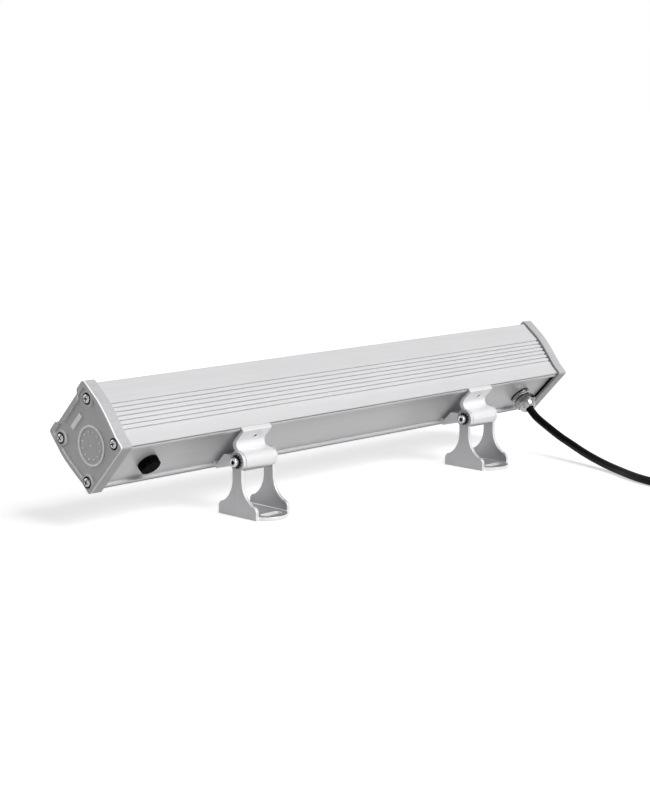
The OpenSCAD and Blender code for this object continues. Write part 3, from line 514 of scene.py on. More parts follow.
@dataclass(frozen=True)
class Insulation(Finish):
    """Insulation of a wire, with a stripe of a second colour where it has one."""

    stripe: Tone | None = None
    cloud_scale: float = 300.0
    stripe_scale: float = 110.0
    cloud_depth: float = 0.02 * MM

    def dress(self, graph: Graph) -> None:
        """Builds the glossy jacket and its stripes.

        Args:
            graph: the graph of the finish's material.
        """
        cloud = graph.noise(self.cloud_scale, 2.0)
        base = graph.tint(cloud.step(0.35, 0.7), self.deeper(0.9), self.deeper(1.06))
        if self.stripe is not None:
            bands = graph.node(
                "ShaderNodeTexWave",
                {"wave_type": "BANDS", "bands_direction": "Y"},
                {"Vector": graph.places(self.stripe_scale), "Scale": 1.0, "Distortion": 0.4},
                1,
            )
            base = graph.tint(bands.step(0.45, 0.55), base, self.stripe)
        graph.surface({
            "Base Color": base,
            "Roughness": self.roughness + 0.1 * (cloud - 0.5),
            "Normal": graph.relief(cloud, self.cloud_depth, 0.5),
        })


# Near-black finish that paints the shade inside recesses, sockets, bores, threads and grooves.
PAINTED_SHADE_RECESS = MachinedMetal("painted_shade_recess", (0.03, 0.03, 0.03), 0.5)
BLACK_OXIDE = MachinedMetal("black_oxide", (0.02, 0.02, 0.021), 0.42)
FROSTED_CONE = MouldedPart(
    "lens_cone", (0.84, 0.85, 0.86), 0.25, grain_scale=900.0, grain_depth=0.04 * MM
)
CERAMIC = MouldedPart("led_base", (0.85, 0.85, 0.82), 0.4)
BLUE_CORE = Insulation("core_blue", (0.03, 0.12, 0.42), 0.35)
EARTH_CORE = Insulation("core_earth", (0.06, 0.36, 0.08), 0.35, stripe=(0.75, 0.62, 0.05))
FERRULE_COLLAR = MouldedPart("ferrule_collar", (0.75, 0.75, 0.73), 0.4)
# Lighter finishes for the bevels of broken edges: worn edges, and a painted highlight along them.
CAP_EDGE_WEAR_AND_HIGHLIGHT = PowderCoat("cap_edge_wear_and_highlight", (0.95, 0.95, 0.96), 0.25, metallic=0.15)
FOOT_EDGE_WEAR_AND_HIGHLIGHT = AnodisedMetal("foot_edge_wear_and_highlight", (0.93, 0.93, 0.94), 0.28, Grain.UPRIGHT)
RAIL_EDGE_WEAR_AND_HIGHLIGHT = AnodisedMetal("rail_edge", (0.95, 0.95, 0.96), 0.3)


class Shaper:
    """Builds the mesh of one piece in the piece's own frame."""

    def __init__(self) -> None:
        """Starts with nothing."""
        self.mesh = bmesh.new()

    def point(self, place: Point) -> bmesh.types.BMVert:
        """Adds one point."""
        return self.mesh.verts.new(place)

    def face(self, corners: list[bmesh.types.BMVert]) -> bmesh.types.BMFace:
        """Adds one face."""
        return self.mesh.faces.new(corners)

    def shell(
        self,
        rings: list[Ring],
        corners: tuple[float, ...] = (),
        loop: bool = False,
        place: Matrix = HERE,
        sides: int = 72,
    ) -> None:
        """Builds a closed shell through rings, in millimetres.

        Args:
            rings: each a reach, a height and, where it isn't 0, a mark. Reach and height
                are numbers or work on an angle. The mark is of the faces up to the next ring.
            corners: angles that get points of their own.
            loop: joins the last ring to the first, instead of closing both ends.
            place: from the shell's own frame to the piece's.
            sides: how many even steps go round.
        """
        even = [TURN * step / sides for step in range(sides)]
        angles = sorted({round(angle % TURN, 6) for angle in (*even, *corners)})
        rows = []
        for reach, height, *_ in rings:
            row = []
            for angle in angles:
                out = reach(angle) if callable(reach) else reach
                up = height(angle) if callable(height) else height
                where = Vector((out * math.cos(angle), out * math.sin(angle), up)) * MM
                row.append(self.point(place @ where))
            rows.append(row)
        following = rows[1:] + rows[:1] if loop else rows[1:]
        for ring, low, high in zip(rings, rows, following):
            for at, corner in enumerate(low):
                after = (at + 1) % len(low)
                made = self.face([corner, low[after], high[after], high[at]])
                made.material_index = ring[2] if len(ring) > 2 else 0
        if not loop:
            self.face(rows[0][::-1])
            self.face(rows[-1]).material_index = rings[-1][2] if len(rings[-1]) > 2 else 0

    def loft(self, rings: list[list[Vector]]) -> None:
        """Builds a closed form through rings of points.

        Args:
            rings: the points of each ring, in millimetres.
        """
        rows = [[self.point(spot * MM) for spot in ring] for ring in rings]
        for low, high in zip(rows, rows[1:]):
            for at, corner in enumerate(low):
                after = (at + 1) % len(low)
                self.face([corner, low[after], high[after], high[at]])
        self.face(rows[0][::-1])
        self.face(rows[-1])

    def block(self, sizes: Point, place: Matrix, ease: float = 0.12) -> None:
        """Builds a block with eased ends that stands on Z = 0.

        Args:
            sizes: its width, depth and height, in millimetres.
            place: from the block's own frame to the piece's.
            ease: how much its ends are eased.
        """
        wide, deep, tall = sizes
        base = place @ Matrix.Diagonal((wide / deep, 1, 1, 1))
        reach = Outline.polygon(deep, 4, TURN / 8)
        small = Outline.polygon(deep - 2 * ease, 4, TURN / 8)
        rings = [(small, 0), (reach, ease), (reach, tall - ease), (small, tall)]
        self.shell(rings, place=base, sides=8)

    def piece(self, name: str, place: Matrix) -> bpy.types.Object:
        """Makes an object of what was built.

        Args:
            name: the object's name.
            place: the matrix from the piece's own frame to the row frame.

        Returns:
            The object, with its place in its mesh.
        """
        data = bpy.data.meshes.new(name)
        bmesh.ops.recalc_face_normals(self.mesh, faces=self.mesh.faces)
        bmesh.ops.transform(self.mesh, matrix=place, verts=self.mesh.verts)
        self.mesh.to_mesh(data)
        self.mesh.free()
        made = bpy.data.objects.new(name, data)
        bpy.context.scene.collection.objects.link(made)
        return made


class Outline:
    """Outlines of turned and cut parts, each the reach from the middle at an angle."""

    CONE_SLOPE = math.tan(math.radians(30))
    CONE_START = 0.475
    CLOSE = 1e-6

    @staticmethod
    def polygon(flats: float, corners: int = 6, turn: float = 0.0) -> Reach:
        """A regular polygon with a width across its flats."""
        sector = TURN / corners
        return lambda angle: flats / 2 / math.cos((angle - turn) % sector - sector / 2)

    @staticmethod
    def cross(reach: float, width: float) -> Reach:
        """A cross with four arms.

        Args:
            reach: the length of an arm from the middle.
            width: the width of an arm.

        Returns:
            The reach at an angle.
        """

        def at(angle: float) -> float:
            """The reach of the cross.

            Args:
                angle: the angle from the middle of an arm.

            Returns:
                The reach at that angle.
            """
            folded = angle % (TURN / 4)
            folded = min(folded, TURN / 4 - folded)
            if reach * math.tan(folded) <= width / 2 + Outline.CLOSE:
                return reach / math.cos(folded)
            return width / 2 / math.sin(folded)

        return at

    @staticmethod
    def cross_corners(reach: float, width: float) -> tuple[float, ...]:
        """The angles of a cross's outer corners."""
        lean = math.atan(width / 2 / reach)
        return tuple(TURN * arm / 4 + way * lean for arm in range(4) for way in (-1, 1))

    @staticmethod
    def ribbed(radius: float, depth: float, count: int) -> Reach:
        """A circle with rounded ribs round it."""
        return lambda angle: radius - depth * abs(math.sin(count * angle / 2)) ** 3

    @staticmethod
    def notched(radius: float, depth: float, count: int, width: float) -> Reach:
        """A circle with deep slots round it.

        Args:
            radius: the circle's radius.
            depth: how deep the slots are.
            count: how many there are.
            width: how wide each is.

        Returns:
            The reach at an angle.
        """
        half = width / 2 / radius

        def at(angle: float) -> float:
            """The reach of the slotted circle at an angle."""
            folded = angle % (TURN / count)
            return radius - depth if min(folded, TURN / count - folded) < half else radius

        return at

    @staticmethod
    def thread(radius: float, low: float, high: float, pitch: float, deep: float) -> list[Ring]:
        """The rings of a thread.

        Args:
            radius: the radius over the crests.
            low: the height where it starts.
            high: the height where it ends.
            pitch: the distance from crest to crest.
            deep: the depth of its grooves.

        Returns:
            The rings from the low end to the high end.
        """
        rings: list[Ring] = []
        for turn in range(round((high - low) / pitch)):
            rings += [(radius - deep, low + turn * pitch), (radius, low + (turn + 0.5) * pitch)]
        return [*rings, (radius - deep, high)]

    @staticmethod
    def chamfer(flats: float, start: float, end: float, way: int) -> Reach:
        """The height round a hexagon's rim, where a flat cone takes its corners off.

        Args:
            flats: the width across the flats.
            start: the reach that the cone starts from.
            end: the height of the hexagon's end.
            way: 1 for a lower end, and -1 for an upper one.

        Returns:
            The height at an angle.
        """
        sides = Outline.polygon(flats)
        slope = way * Outline.CONE_SLOPE
        return lambda angle: end + slope * (sides(angle) - start)

    @staticmethod
    def nut(flats: float, low: float, high: float, bore: float, ease: float = 0.3) -> list[Ring]:
        """The rings of a hexagon that is chamfered at both ends and bored through.

        Args:
            flats: the width across the flats.
            low: the height of its lower end.
            high: the height of its upper end.
            bore: the radius of its bore.
            ease: how much the bore's ends are eased.

        Returns:
            The rings, for a shell that is a loop.
        """
        sides = Outline.polygon(flats)
        start = Outline.CONE_START * flats
        return [
            (bore + ease, low), (start, low), (sides, Outline.chamfer(flats, start, low, 1)),
            (sides, Outline.chamfer(flats, start, high, -1)), (start, high), (bore + ease, high, 1),
            (bore, high - ease, 1), (bore, low + ease, 1),
        ]


@dataclass(frozen=True)
class Workshop:
    """Every finish of the light, by the slot of the record that it belongs to."""

    finishes: dict[str, Finish] = field(default_factory=lambda: {
        "anodised_housing": AnodisedMetal("housing", (0.72, 0.72, 0.73), 0.42),
        # The cap's raised marks and rims are painted lighter: worn paint, and a painted highlight.
        "cast_cap": PowderCoat(
            "cap", (0.54, 0.54, 0.55), 0.5, metallic=0.06, rubbed_and_highlight=(0.95, 0.95, 0.96)
        ),
        "black_silicone": MouldedPart(
            "gasket", (0.004, 0.004, 0.004), 0.7, dust=0.002, gloss=0.05
        ),
        "grey_silicone": MouldedPart("pane_seal", (0.26, 0.27, 0.28), 0.55),
        "stainless_screw": MachinedMetal("screw", (0.42, 0.42, 0.43), 0.24),
        "toughened_glass": ClearPart("pane", (0.10, 0.12, 0.12), 0.02, alpha=0.09, ior=2.2),
        "white_board": MouldedPart(
            "led_board", (0.86, 0.86, 0.84), 0.35, grain_scale=1800.0, grain_depth=0.01 * MM
        ),
        "led_phosphor": MouldedPart(
            "led", (0.86, 0.68, 0.16), 0.3, grain_scale=5000.0, grain_depth=0.01 * MM
        ),
        "black_holder": MouldedPart("holder", (0.025, 0.025, 0.026), 0.42),
        "clear_lens": ClearPart("lens", (0.92, 0.94, 0.95), 0.05, alpha=0.2, ior=1.7),
        "red_lead": Insulation("led_lead", (0.52, 0.05, 0.04), 0.35),
        "driver_shell": AnodisedMetal("driver_case", (0.38, 0.39, 0.40), 0.4),
        "driver_lid": AnodisedMetal("driver_lid", (0.45, 0.46, 0.47), 0.4),
        "green_board": MouldedPart("driver_board", (0.03, 0.18, 0.08), 0.3),
        "component_body": MouldedPart("component", (0.72, 0.36, 0.07), 0.35),
        "thermal_pad": MouldedPart("pad", (0.33, 0.48, 0.60), 0.75),
        "core_jacket": Insulation("mains_core", (0.20, 0.09, 0.04), 0.35),
        "nickel_brass": MachinedMetal("nickel", (0.40, 0.40, 0.405), 0.2),
        "black_rubber": MouldedPart(
            "rubber", (0.004, 0.004, 0.004), 0.6, dust=0.002, gloss=0.08
        ),
        "black_nylon": MouldedPart(
            "nylon", (0.0015, 0.0015, 0.0015), 0.6, dust=0.0008, gloss=0.02
        ),
        "white_membrane": MouldedPart("membrane", (0.88, 0.88, 0.88), 0.8),
        "cable_jacket": MouldedPart(
            "jacket", (0.002, 0.002, 0.002), 0.4, grain_scale=1500.0, dust=0.001, gloss=0.08
        ),
        "tinned_copper": MachinedMetal("ferrule", (0.72, 0.70, 0.66), 0.3),
        "anodised_clamp": AnodisedMetal("clamp", (0.88, 0.88, 0.89), 0.32, metallic=0.3),
        "black_steel_screw": MachinedMetal("lock_screw", (0.78, 0.78, 0.79), 0.34),
        # The foot's cut edges are painted lighter: bare metal, and a painted highlight.
        "brushed_foot": AnodisedMetal(
            "foot", (0.41, 0.41, 0.42), 0.36, Grain.UPRIGHT, metallic=0.65, cut=(0.8, 0.8, 0.81)
        ),
        "stainless_bolt": MachinedMetal("bolt", (0.70, 0.70, 0.71), 0.22),
        "stainless_washer": MachinedMetal("washer", (0.62, 0.62, 0.63), 0.3),
    })
    sharp_from: float = math.radians(28)
    broken_from: float = math.radians(35)

    def fit(
        self,
        shaper: Shaper,
        name: str,
        slot: str,
        body: str,
        stands_for: tuple[str, ...],
        place: Matrix = HERE,
        extra: tuple[Finish, ...] = (),
        edge: float = 0.0,
        finish: Finish | None = None,
    ) -> bpy.types.Object:
        """Turns a shaped mesh into a finished piece that rides on its body.

        Args:
            shaper: the shaped mesh.
            name: the piece's name.
            slot: the record's slot that its finish belongs to.
            body: the body that carries it.
            stands_for: the shapes of the frame that it takes the place of.
            place: from the piece's own frame to the row frame.
            extra: finishes of the faces that are marked 1, 2 and so on.
            edge: the width of its broken edges, or 0.
            finish: its main finish, where the slot's own is not wanted.

        Returns:
            The piece.
        """
        piece = shaper.piece(name, place)
        for worn in (finish or self.finishes[slot], *extra):
            piece.data.materials.append(worn.material())
        piece.data.shade_smooth()
        piece.data.set_sharp_from_angle(angle=self.sharp_from)
        if edge:
            bevel = piece.modifiers.new("broken_edges", "BEVEL")
            bevel.width = edge
            bevel.segments = 2
            bevel.limit_method = "ANGLE"
            bevel.angle_limit = self.broken_from
            piece.modifiers.new("even_shading", "WEIGHTED_NORMAL").keep_sharp = True
        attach(piece, body)
        if stands_for:
            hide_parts(*stands_for)
        log.info("%s is fitted to %s", name, body)
        return piece

    def dress_nodes(self, record: dict, nodes: dict[str, bpy.types.Object]) -> None:
        """Gives every shape of the frame its finish.

        Args:
            record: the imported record, with the slot of each node.
            nodes: the frame's objects by name.
        """
        for part in record["subparts"]:
            piece = nodes[part["node"]]
            finish = self.finishes[part["material_slot"]]
            for place in piece.material_slots:
                place.material = finish.material()
            log.info("%s wears %s", piece.name, finish.name)


@dataclass(frozen=True)
class EdgeBreak:
    """Broken edges on shapes of the frame, by modifiers alone."""

    width: float
    nodes: tuple[str, ...]
    # The bevels' lighter finish: worn edges, and a painted highlight along them.
    worn: Finish | None = None
    broken_from: float = math.radians(32)
    steps: int = 2
    join_within: float = 0.002 * MM
    flat_within: float = math.radians(0.6)

    def apply_to(self, found: dict[str, bpy.types.Object]) -> None:
        """Adds the modifiers that join, break and shade the edges.

        Args:
            found: the frame's objects by name.
        """
        for name in self.nodes:
            piece = found[name]
            weld = piece.modifiers.new("join_corners", "WELD")
            weld.merge_threshold = self.join_within
            flat = piece.modifiers.new("flat_faces", "DECIMATE")
            flat.decimate_type = "DISSOLVE"
            flat.angle_limit = self.flat_within
            bevel = piece.modifiers.new("broken_edges", "BEVEL")
            bevel.width = self.width
            bevel.segments = self.steps
            bevel.limit_method = "ANGLE"
            bevel.angle_limit = self.broken_from
            bevel.use_clamp_overlap = True
            # The bevels get the lighter finish, which paints worn edges and a highlight along them.
            if self.worn is not None:
                bevel.material = len(piece.data.materials)
                piece.data.materials.append(self.worn.material())
            shade = piece.modifiers.new("even_shading", "WEIGHTED_NORMAL")
            shade.mode = "FACE_AREA"
            shade.keep_sharp = False
            log.info("%s has its edges broken", name)


EDGES = (
    EdgeBreak(0.5 * MM, ("left_end_cap", "right_end_cap"), CAP_EDGE_WEAR_AND_HIGHLIGHT),
    EdgeBreak(0.25 * MM, ("housing",), RAIL_EDGE_WEAR_AND_HIGHLIGHT),
    EdgeBreak(0.5 * MM, ("left_foot", "right_foot"), FOOT_EDGE_WEAR_AND_HIGHLIGHT),
    EdgeBreak(0.35 * MM, ("left_clamp", "right_clamp"), FOOT_EDGE_WEAR_AND_HIGHLIGHT),
)


@dataclass(frozen=True)
class LightPlace:
    """Where the light's section stands in the row frame."""

    shift: float = -6.3 * MM
    tilt: float = math.radians(46)
    pivot_height: float = 41.3 * MM
    pivot_side: float = 4.1 * MM
    pivot_drop: float = 15.6 * MM
    channel_depth: float = 2.3 * MM
    swivel_reach: float = 128 * MM
    lock_place: Point = (2.6 * MM, -15.6 * MM, 0)

    def section(self, x: float) -> Matrix:
        """From the section's X, side and height to the row frame.

        Args:
            x: the section's place along the light.

        Returns:
            The matrix of the section.
        """
        return (
            Matrix.Translation((x, 0, self.pivot_height))
            @ Matrix.Rotation(-self.tilt, 4, "X")
            @ Matrix.Translation((0, self.pivot_side, self.pivot_drop))
        )

    def face(self, x: float, side: float) -> Matrix:
        """From a fitting's own frame, with Z out of the light, to the row frame.

        Args:
            x: the fitting's place along the light.
            side: its offset from the middle of the light.

        Returns:
            The matrix of the fitting's seat on the channel's floor.
        """
        seat = Matrix.Translation((x, side, self.channel_depth))
        return self.section(self.shift) @ seat @ Matrix.Rotation(math.pi, 4, "X")

    def cap(self, side: Side, seat: float, across: float, height: float) -> Matrix:
        """From a cap screw's own frame, with Z out of the cap, to the row frame.

        Args:
            side: the end of the light that the cap closes.
            seat: how far the seat of the screws is from the middle of the light.
            across: the screw's offset from the middle of the section.
            height: its height in the section.

        Returns:
            The matrix of the screw's seat.
        """
        return (
            self.section(self.shift + side.value * seat)
            @ Matrix.Translation((0, across, height))
            @ Matrix.Rotation(side.value * math.pi / 2, 4, "Y")
        )

    def swivel(self, side: Side) -> Matrix:
        """From a swivel's own frame, with Z along the light, to the row frame."""
        where = Matrix.Translation((side.value * self.swivel_reach, 0, self.pivot_height))
        return where @ Matrix.Rotation(math.pi / 2, 4, "Y")

    def lock(self, side: Side) -> Matrix:
        """From a lock screw's own frame, with Z out of the light, to the row frame."""
        seat = self.section(side.value * self.swivel_reach) @ Matrix.Translation(self.lock_place)
        return seat @ Matrix.Rotation(math.pi, 4, "X")


def lay_strands(
    name: str, lines: list[list[Vector]], radius: float, roundness: int, steps: int
) -> bpy.types.Object:
    """Makes one object of smooth round strands, each with a material slot of its own.

    Args:
        name: the object's name.
        lines: the centre line of each strand, in metres.
        radius: the radius of the strands.
        roundness: how finely their section is rounded.
        steps: how many pieces each stretch between two points is drawn in.

    Returns:
        The object, with no material in its slots yet.
    """
    data = bpy.data.curves.new(name, "CURVE")
    data.dimensions = "3D"
    data.bevel_depth = radius
    data.bevel_resolution = roundness
    data.resolution_u = steps
    data.use_fill_caps = True
    for number, line in enumerate(lines):
        spline = data.splines.new("BEZIER")
        spline.bezier_points.add(len(line) - 1)
        spline.material_index = number
        for handle, place in zip(spline.bezier_points, line):
            handle.co = place
            handle.handle_left_type = "AUTO"
            handle.handle_right_type = "AUTO"
    piece = bpy.data.objects.new(name, data)
    bpy.context.scene.collection.objects.link(piece)
    return piece


@dataclass
class CableEnd:
    """The tie round the coil, and the three bare cores with their ferrules."""

    tie_angle: float = math.radians(60)
    tie_reach: float = 39 * MM
    tie_half: float = 15.0
    tie_top: float = 7.6
    tie_wide: float = 3.6
    tie_thick: float = 0.8
    tie_thin: float = 0.576
    tie_ease: float = 2.0
    tie_ridge: float = 0.45
    head_size: Point = (5.4, 5.2, 3.4)
    head_place: Point = (7 * MM, 0, 6.6 * MM)
    head_ease: float = 0.5
    tail_route: tuple[tuple[float, float], ...] = ((4.2, 8.5), (1.5, 8.6), (-2.0, 8.9), (-4.5, 9.6))
    tail_half: float = 1.5
    tail_thick: float = 0.7
    core_radius: float = 1.1 * MM
    core_step: float = 2.4
    crimps: int = 4
    core_route: tuple[Point, ...] = (
        (190.5, -206.5, 1.3), (196.5, -211, 1.3), (204, -212.5, 1.3), (211.5, -210.5, 1.3),
        (217, -205.5, 1.3),
    )

    def tie(self, workshop: Workshop, centre: tuple[float, float]) -> bpy.types.Object:
        """Makes the ridged strap, its head and its tail.

        Args:
            workshop: the finishes.
            centre: the middle of the coil.

        Returns:
            The tie.
        """
        ease, ridge = self.tie_ease, self.tie_ridge
        low, flat, top = self.tie_half, self.tie_half - ease, self.tie_top
        path = [(-low, 0.1), (-low, 2.5), (-low, top - ease), (-low + 0.6, top - 0.6), (-flat, top)]
        path += [(ridge * step - flat, top) for step in range(1, int(2 * flat / ridge))]
        path += [(flat, top), (low - 0.6, top - 0.6), (low, top - ease), (low, 2.5), (low, 0.1)]
        half = self.tie_wide / 2
        rings = []
        for at, (out, up) in enumerate(path):
            before, after = path[max(at - 1, 0)], path[min(at + 1, len(path) - 1)]
            along = Vector((after[0] - before[0], after[1] - before[1])).normalized()
            thick = self.tie_thick if at % 2 else self.tie_thin
            inner = (out + along[1] * thick, up - along[0] * thick)
            rings.append([
                Vector((out, -half, up)), Vector((out, half, up)),
                Vector((inner[0], half, inner[1])), Vector((inner[0], -half, inner[1])),
            ])
        strap = Shaper()
        strap.loft(rings)
        strap.block(self.head_size, Matrix.Translation(self.head_place), self.head_ease)
        wide, thick = self.tail_half, self.tail_thick
        strap.loft([
            [
                Vector((out, -wide, up)), Vector((out, wide, up)),
                Vector((out, wide, up - thick)), Vector((out, -wide, up - thick)),
            ]
            for out, up in self.tail_route
        ])
        place = (
            Matrix.Translation((*centre, 0))
            @ Matrix.Rotation(self.tie_angle, 4, "Z")
            @ Matrix.Translation((self.tie_reach, 0, 0))
        )
        return workshop.fit(
            strap, "coil_strap", "black_nylon", LIGHT_BODY, ("coil_tie",), place
        )

    def core_line(self, number: int) -> list[Vector]:
        """The centre line of one core.

        Args:
            number: the core's place across, from -1 to 1.

        Returns:
            Its points, in metres.
        """
        spots = [Vector(spot) for spot in self.core_route]
        line = []
        for at, spot in enumerate(spots):
            before, after = spots[max(at - 1, 0)], spots[min(at + 1, len(spots) - 1)]
            across = Vector((0, 0, 1)).cross((after - before).normalized())
            line.append(MM * (spot + number * self.core_step * across))
        return line

    def cores(self, workshop: Workshop) -> bpy.types.Object:
        """Makes the brown, blue, and green and yellow cores.

        Args:
            workshop: the finishes.

        Returns:
            The three cores as one piece.
        """
        lines = [self.core_line(number) for number in (-1, 0, 1)]
        piece = lay_strands("end_cores", lines, self.core_radius, roundness=5, steps=12)
        for jacket in (workshop.finishes["core_jacket"], BLUE_CORE, EARTH_CORE):
            piece.data.materials.append(jacket.material())
        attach(piece, LIGHT_BODY)
        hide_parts("cable_end_cores")
        log.info("end_cores are laid")
        return piece

    def ferrules(self, workshop: Workshop) -> bpy.types.Object:
        """Makes the crimped ferrules, each with its collar.

        Args:
            workshop: the finishes.

        Returns:
            The three ferrules as one piece.
        """
        shaper = Shaper()
        crimps = [
            ring for step in range(self.crimps)
            for ring in ((1.0, 3.1 + step), (0.84, 3.35 + step), (0.84, 3.75 + step))
        ]
        for number in (-1, 0, 1):
            line = self.core_line(number)
            heading = line[-1] - line[-2]
            turned = heading.to_track_quat("Z", "Y").to_matrix().to_4x4()
            shaper.shell([
                (0.7, 0, 1), (1.16, 0.1, 1), (1.16, 2.3, 1), (1.0, 2.7), *crimps, (1.0, 7.1),
                (0.95, 7.9), (0.8, 8.0),
            ], place=Matrix.Translation(line[-1]) @ turned, sides=24)
        return workshop.fit(
            shaper, "crimped_ferrules", "tinned_copper", LIGHT_BODY, ("core_ferrules",),
            extra=(FERRULE_COLLAR,),
        )

    def build(self, workshop: Workshop, centre: tuple[float, float]) -> list[bpy.types.Object]:
        """Makes the tie, the cores and the ferrules."""
        return [self.tie(workshop, centre), self.cores(workshop), self.ferrules(workshop)]


@dataclass
class SupplyCable:
    """The supply cable, from inside its gland to the coil on the floor."""

    radius: float = 3.3 * MM
    length: float = 1.0
    mouth: Point = (207 * MM, 6.3 * MM, 37.5 * MM)
    coil_centre: tuple[float, float] = (206 * MM, -192 * MM)
    coil_radius: float = 49.7 * MM
    coil_pitch: float = 6.8 * MM
    coil_start: float = 178.0
    coil_turns: float = 3.1
    points_a_turn: int = 20
    route_mm: tuple[Point, ...] = (
        (207, 24.3, 54.8), (207, 18, 48.8), (207, 12, 43), (207, 6.3, 37.5), (207, 1, 32.5),
        (207, -4.5, 28.8), (206.3, -10.5, 26), (205.3, -16.5, 23.5), (204.2, -23, 20.8),
        (203, -29.5, 18.3), (200.2, -43, 14.2), (196.5, -56, 10.8), (192.5, -69, 8),
        (188.5, -82, 5.8), (183.5, -96, 4.2), (177.5, -111, 3.4), (170, -126, 3.3),
        (164.5, -139, 3.3), (161, -151, 3.3), (158.8, -162, 3.3), (157.6, -171, 3.3),
    )

    def line(self) -> list[Vector]:
        """Lays out the cable's centre line, from inside its gland to the end of its coil.

        Returns:
            Its points, in metres.
        """
        points = [Vector(place) * MM for place in self.route_mm]
        count = round(self.coil_turns * self.points_a_turn)
        for step in range(count + 1):
            turns = self.coil_turns * step / count
            angle = math.radians(self.coil_start + 360 * turns)
            reach = self.coil_radius - self.coil_pitch * turns
            points.append(Vector((
                self.coil_centre[0] + reach * math.cos(angle),
                self.coil_centre[1] + reach * math.sin(angle),
                self.radius,
            )))
        return points

    def build(self, workshop: Workshop) -> None:
        """Makes the cable as one smooth curve, with what it ends in.

        Args:
            workshop: the finishes.
        """
        piece = lay_strands("supply_cable", [self.line()], self.radius, roundness=7, steps=6)
        piece.data.materials.append(workshop.finishes["cable_jacket"].material())
        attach(piece, LIGHT_BODY)
        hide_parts("cable", "cable_coil")
        CableEnd().build(workshop, self.coil_centre)
        log.info("supply_cable is laid from the gland to its coil")


@dataclass(frozen=True)
class Lamp:
    """A wide soft lamp that shines the same on everything."""

    name: str
    comes_from: Point
    level: float
    spread: float

    def hang(self) -> None:
        """Makes the lamp."""
        data = bpy.data.lights.new(self.name, "SUN")
        data.energy = self.level
        data.angle = math.radians(self.spread)
        made = bpy.data.objects.new(self.name, data)
        made.location = self.comes_from
        made.rotation_euler = Vector(self.comes_from).to_track_quat("Z", "Y").to_euler()
        bpy.context.scene.collection.objects.link(made)
        log.info("lamp %s is lit", self.name)


@dataclass
class Studio:
    """Pale floor, soft lamps and the camera of the photograph."""

    camera_place: Point = (-1.01024, -0.94231, 0.29647)
    camera_down: float = 9.311
    camera_heading: float = -45.437
    camera_lens: float = 80.397
    sensor: float = 36.0
    nearest: float = 0.01
    farthest: float = 100.0
    floor_size: float = 30.0
    air_level: float = 0.25
    zenith_level: float = 0.4
    zenith_rise: tuple[float, float] = (0.15, 0.75)
    bounce: float = 0.33
    glow_share: float = 0.3
    glow_level: float = 1.7
    lamps: tuple[Lamp, ...] = field(default_factory=lambda: (
        Lamp("key", (0.1, -0.88, 0.75), level=2.68, spread=34.0),
        Lamp("back", (-0.2, 0.95, 0.3), level=1.35, spread=60.0),
    ))

    def set_camera(self) -> None:
        """Makes the camera."""
        data = bpy.data.cameras.new("camera")
        data.lens = self.camera_lens
        data.sensor_width = self.sensor
        data.clip_start = self.nearest
        data.clip_end = self.farthest
        piece = bpy.data.objects.new("camera", data)
        piece.location = self.camera_place
        piece.rotation_euler = (
            math.radians(90 - self.camera_down), 0.0, math.radians(self.camera_heading)
        )
        bpy.context.scene.collection.objects.link(piece)
        bpy.context.scene.camera = piece
        log.info("camera is set")

    @staticmethod
    def seen(graph: Graph) -> Signal:
        """Tells which rays look at a background.

        Args:
            graph: the graph of the background.

        Returns:
            1 for the camera, a mirror or a clear part, and 0 for any other ray.
        """
        rays = [
            graph.node("ShaderNodeLightPath", output=name)
            for name in ("Is Camera Ray", "Is Glossy Ray", "Is Transmission Ray")
        ]
        return rays[0].largest(rays[1]).largest(rays[2])

    def lay_floor(self) -> None:
        """Makes the floor, which keeps the object's shadow on white."""
        shaper = Shaper()
        half = self.floor_size / 2
        corners = [(-half, -half, 0), (half, -half, 0), (half, half, 0), (-half, half, 0)]
        shaper.face([shaper.point(corner) for corner in corners])
        piece = shaper.piece("floor", HERE)
        finish = bpy.data.materials.new("floor_paper")
        finish.use_nodes = True
        graph = Graph(finish.node_tree)
        low = graph.node("ShaderNodeBsdfDiffuse", None, {"Color": (*[self.bounce] * 3, 1.0)})
        paper = graph.node("ShaderNodeBsdfDiffuse", None, {"Color": WHITE})
        glow = graph.node("ShaderNodeEmission", None, {"Strength": self.glow_level})
        shown = graph.node("ShaderNodeMixShader", None, {0: self.glow_share, 1: paper, 2: glow})
        mixed = graph.node("ShaderNodeMixShader", None, {0: self.seen(graph), 1: low, 2: shown})
        graph.node("ShaderNodeOutputMaterial", None, {"Surface": mixed})
        piece.data.materials.append(finish)
        log.info("floor is laid")

    def light(self) -> None:
        """Sets the world and the lamps."""
        world = bpy.data.worlds.new("studio")
        bpy.context.scene.world = world
        world.use_nodes = True
        graph = Graph(world.node_tree)
        where = graph.node("ShaderNodeTexCoord", output="Generated")
        height = graph.node("ShaderNodeSeparateXYZ", None, {0: where}, 2)
        mirrored = graph.node("ShaderNodeLightPath", output="Is Glossy Ray")
        dim = mirrored * height.step(*self.zenith_rise) * (1 - self.zenith_level)
        plain = self.air_level + (1 - self.air_level) * self.seen(graph)
        white = graph.node(
            "ShaderNodeBackground", None, {"Color": WHITE, "Strength": plain - dim}
        )
        graph.node("ShaderNodeOutputWorld", None, {"Surface": white})
        for lamp in self.lamps:
            lamp.hang()
        bpy.context.scene.view_settings.view_transform = "Standard"


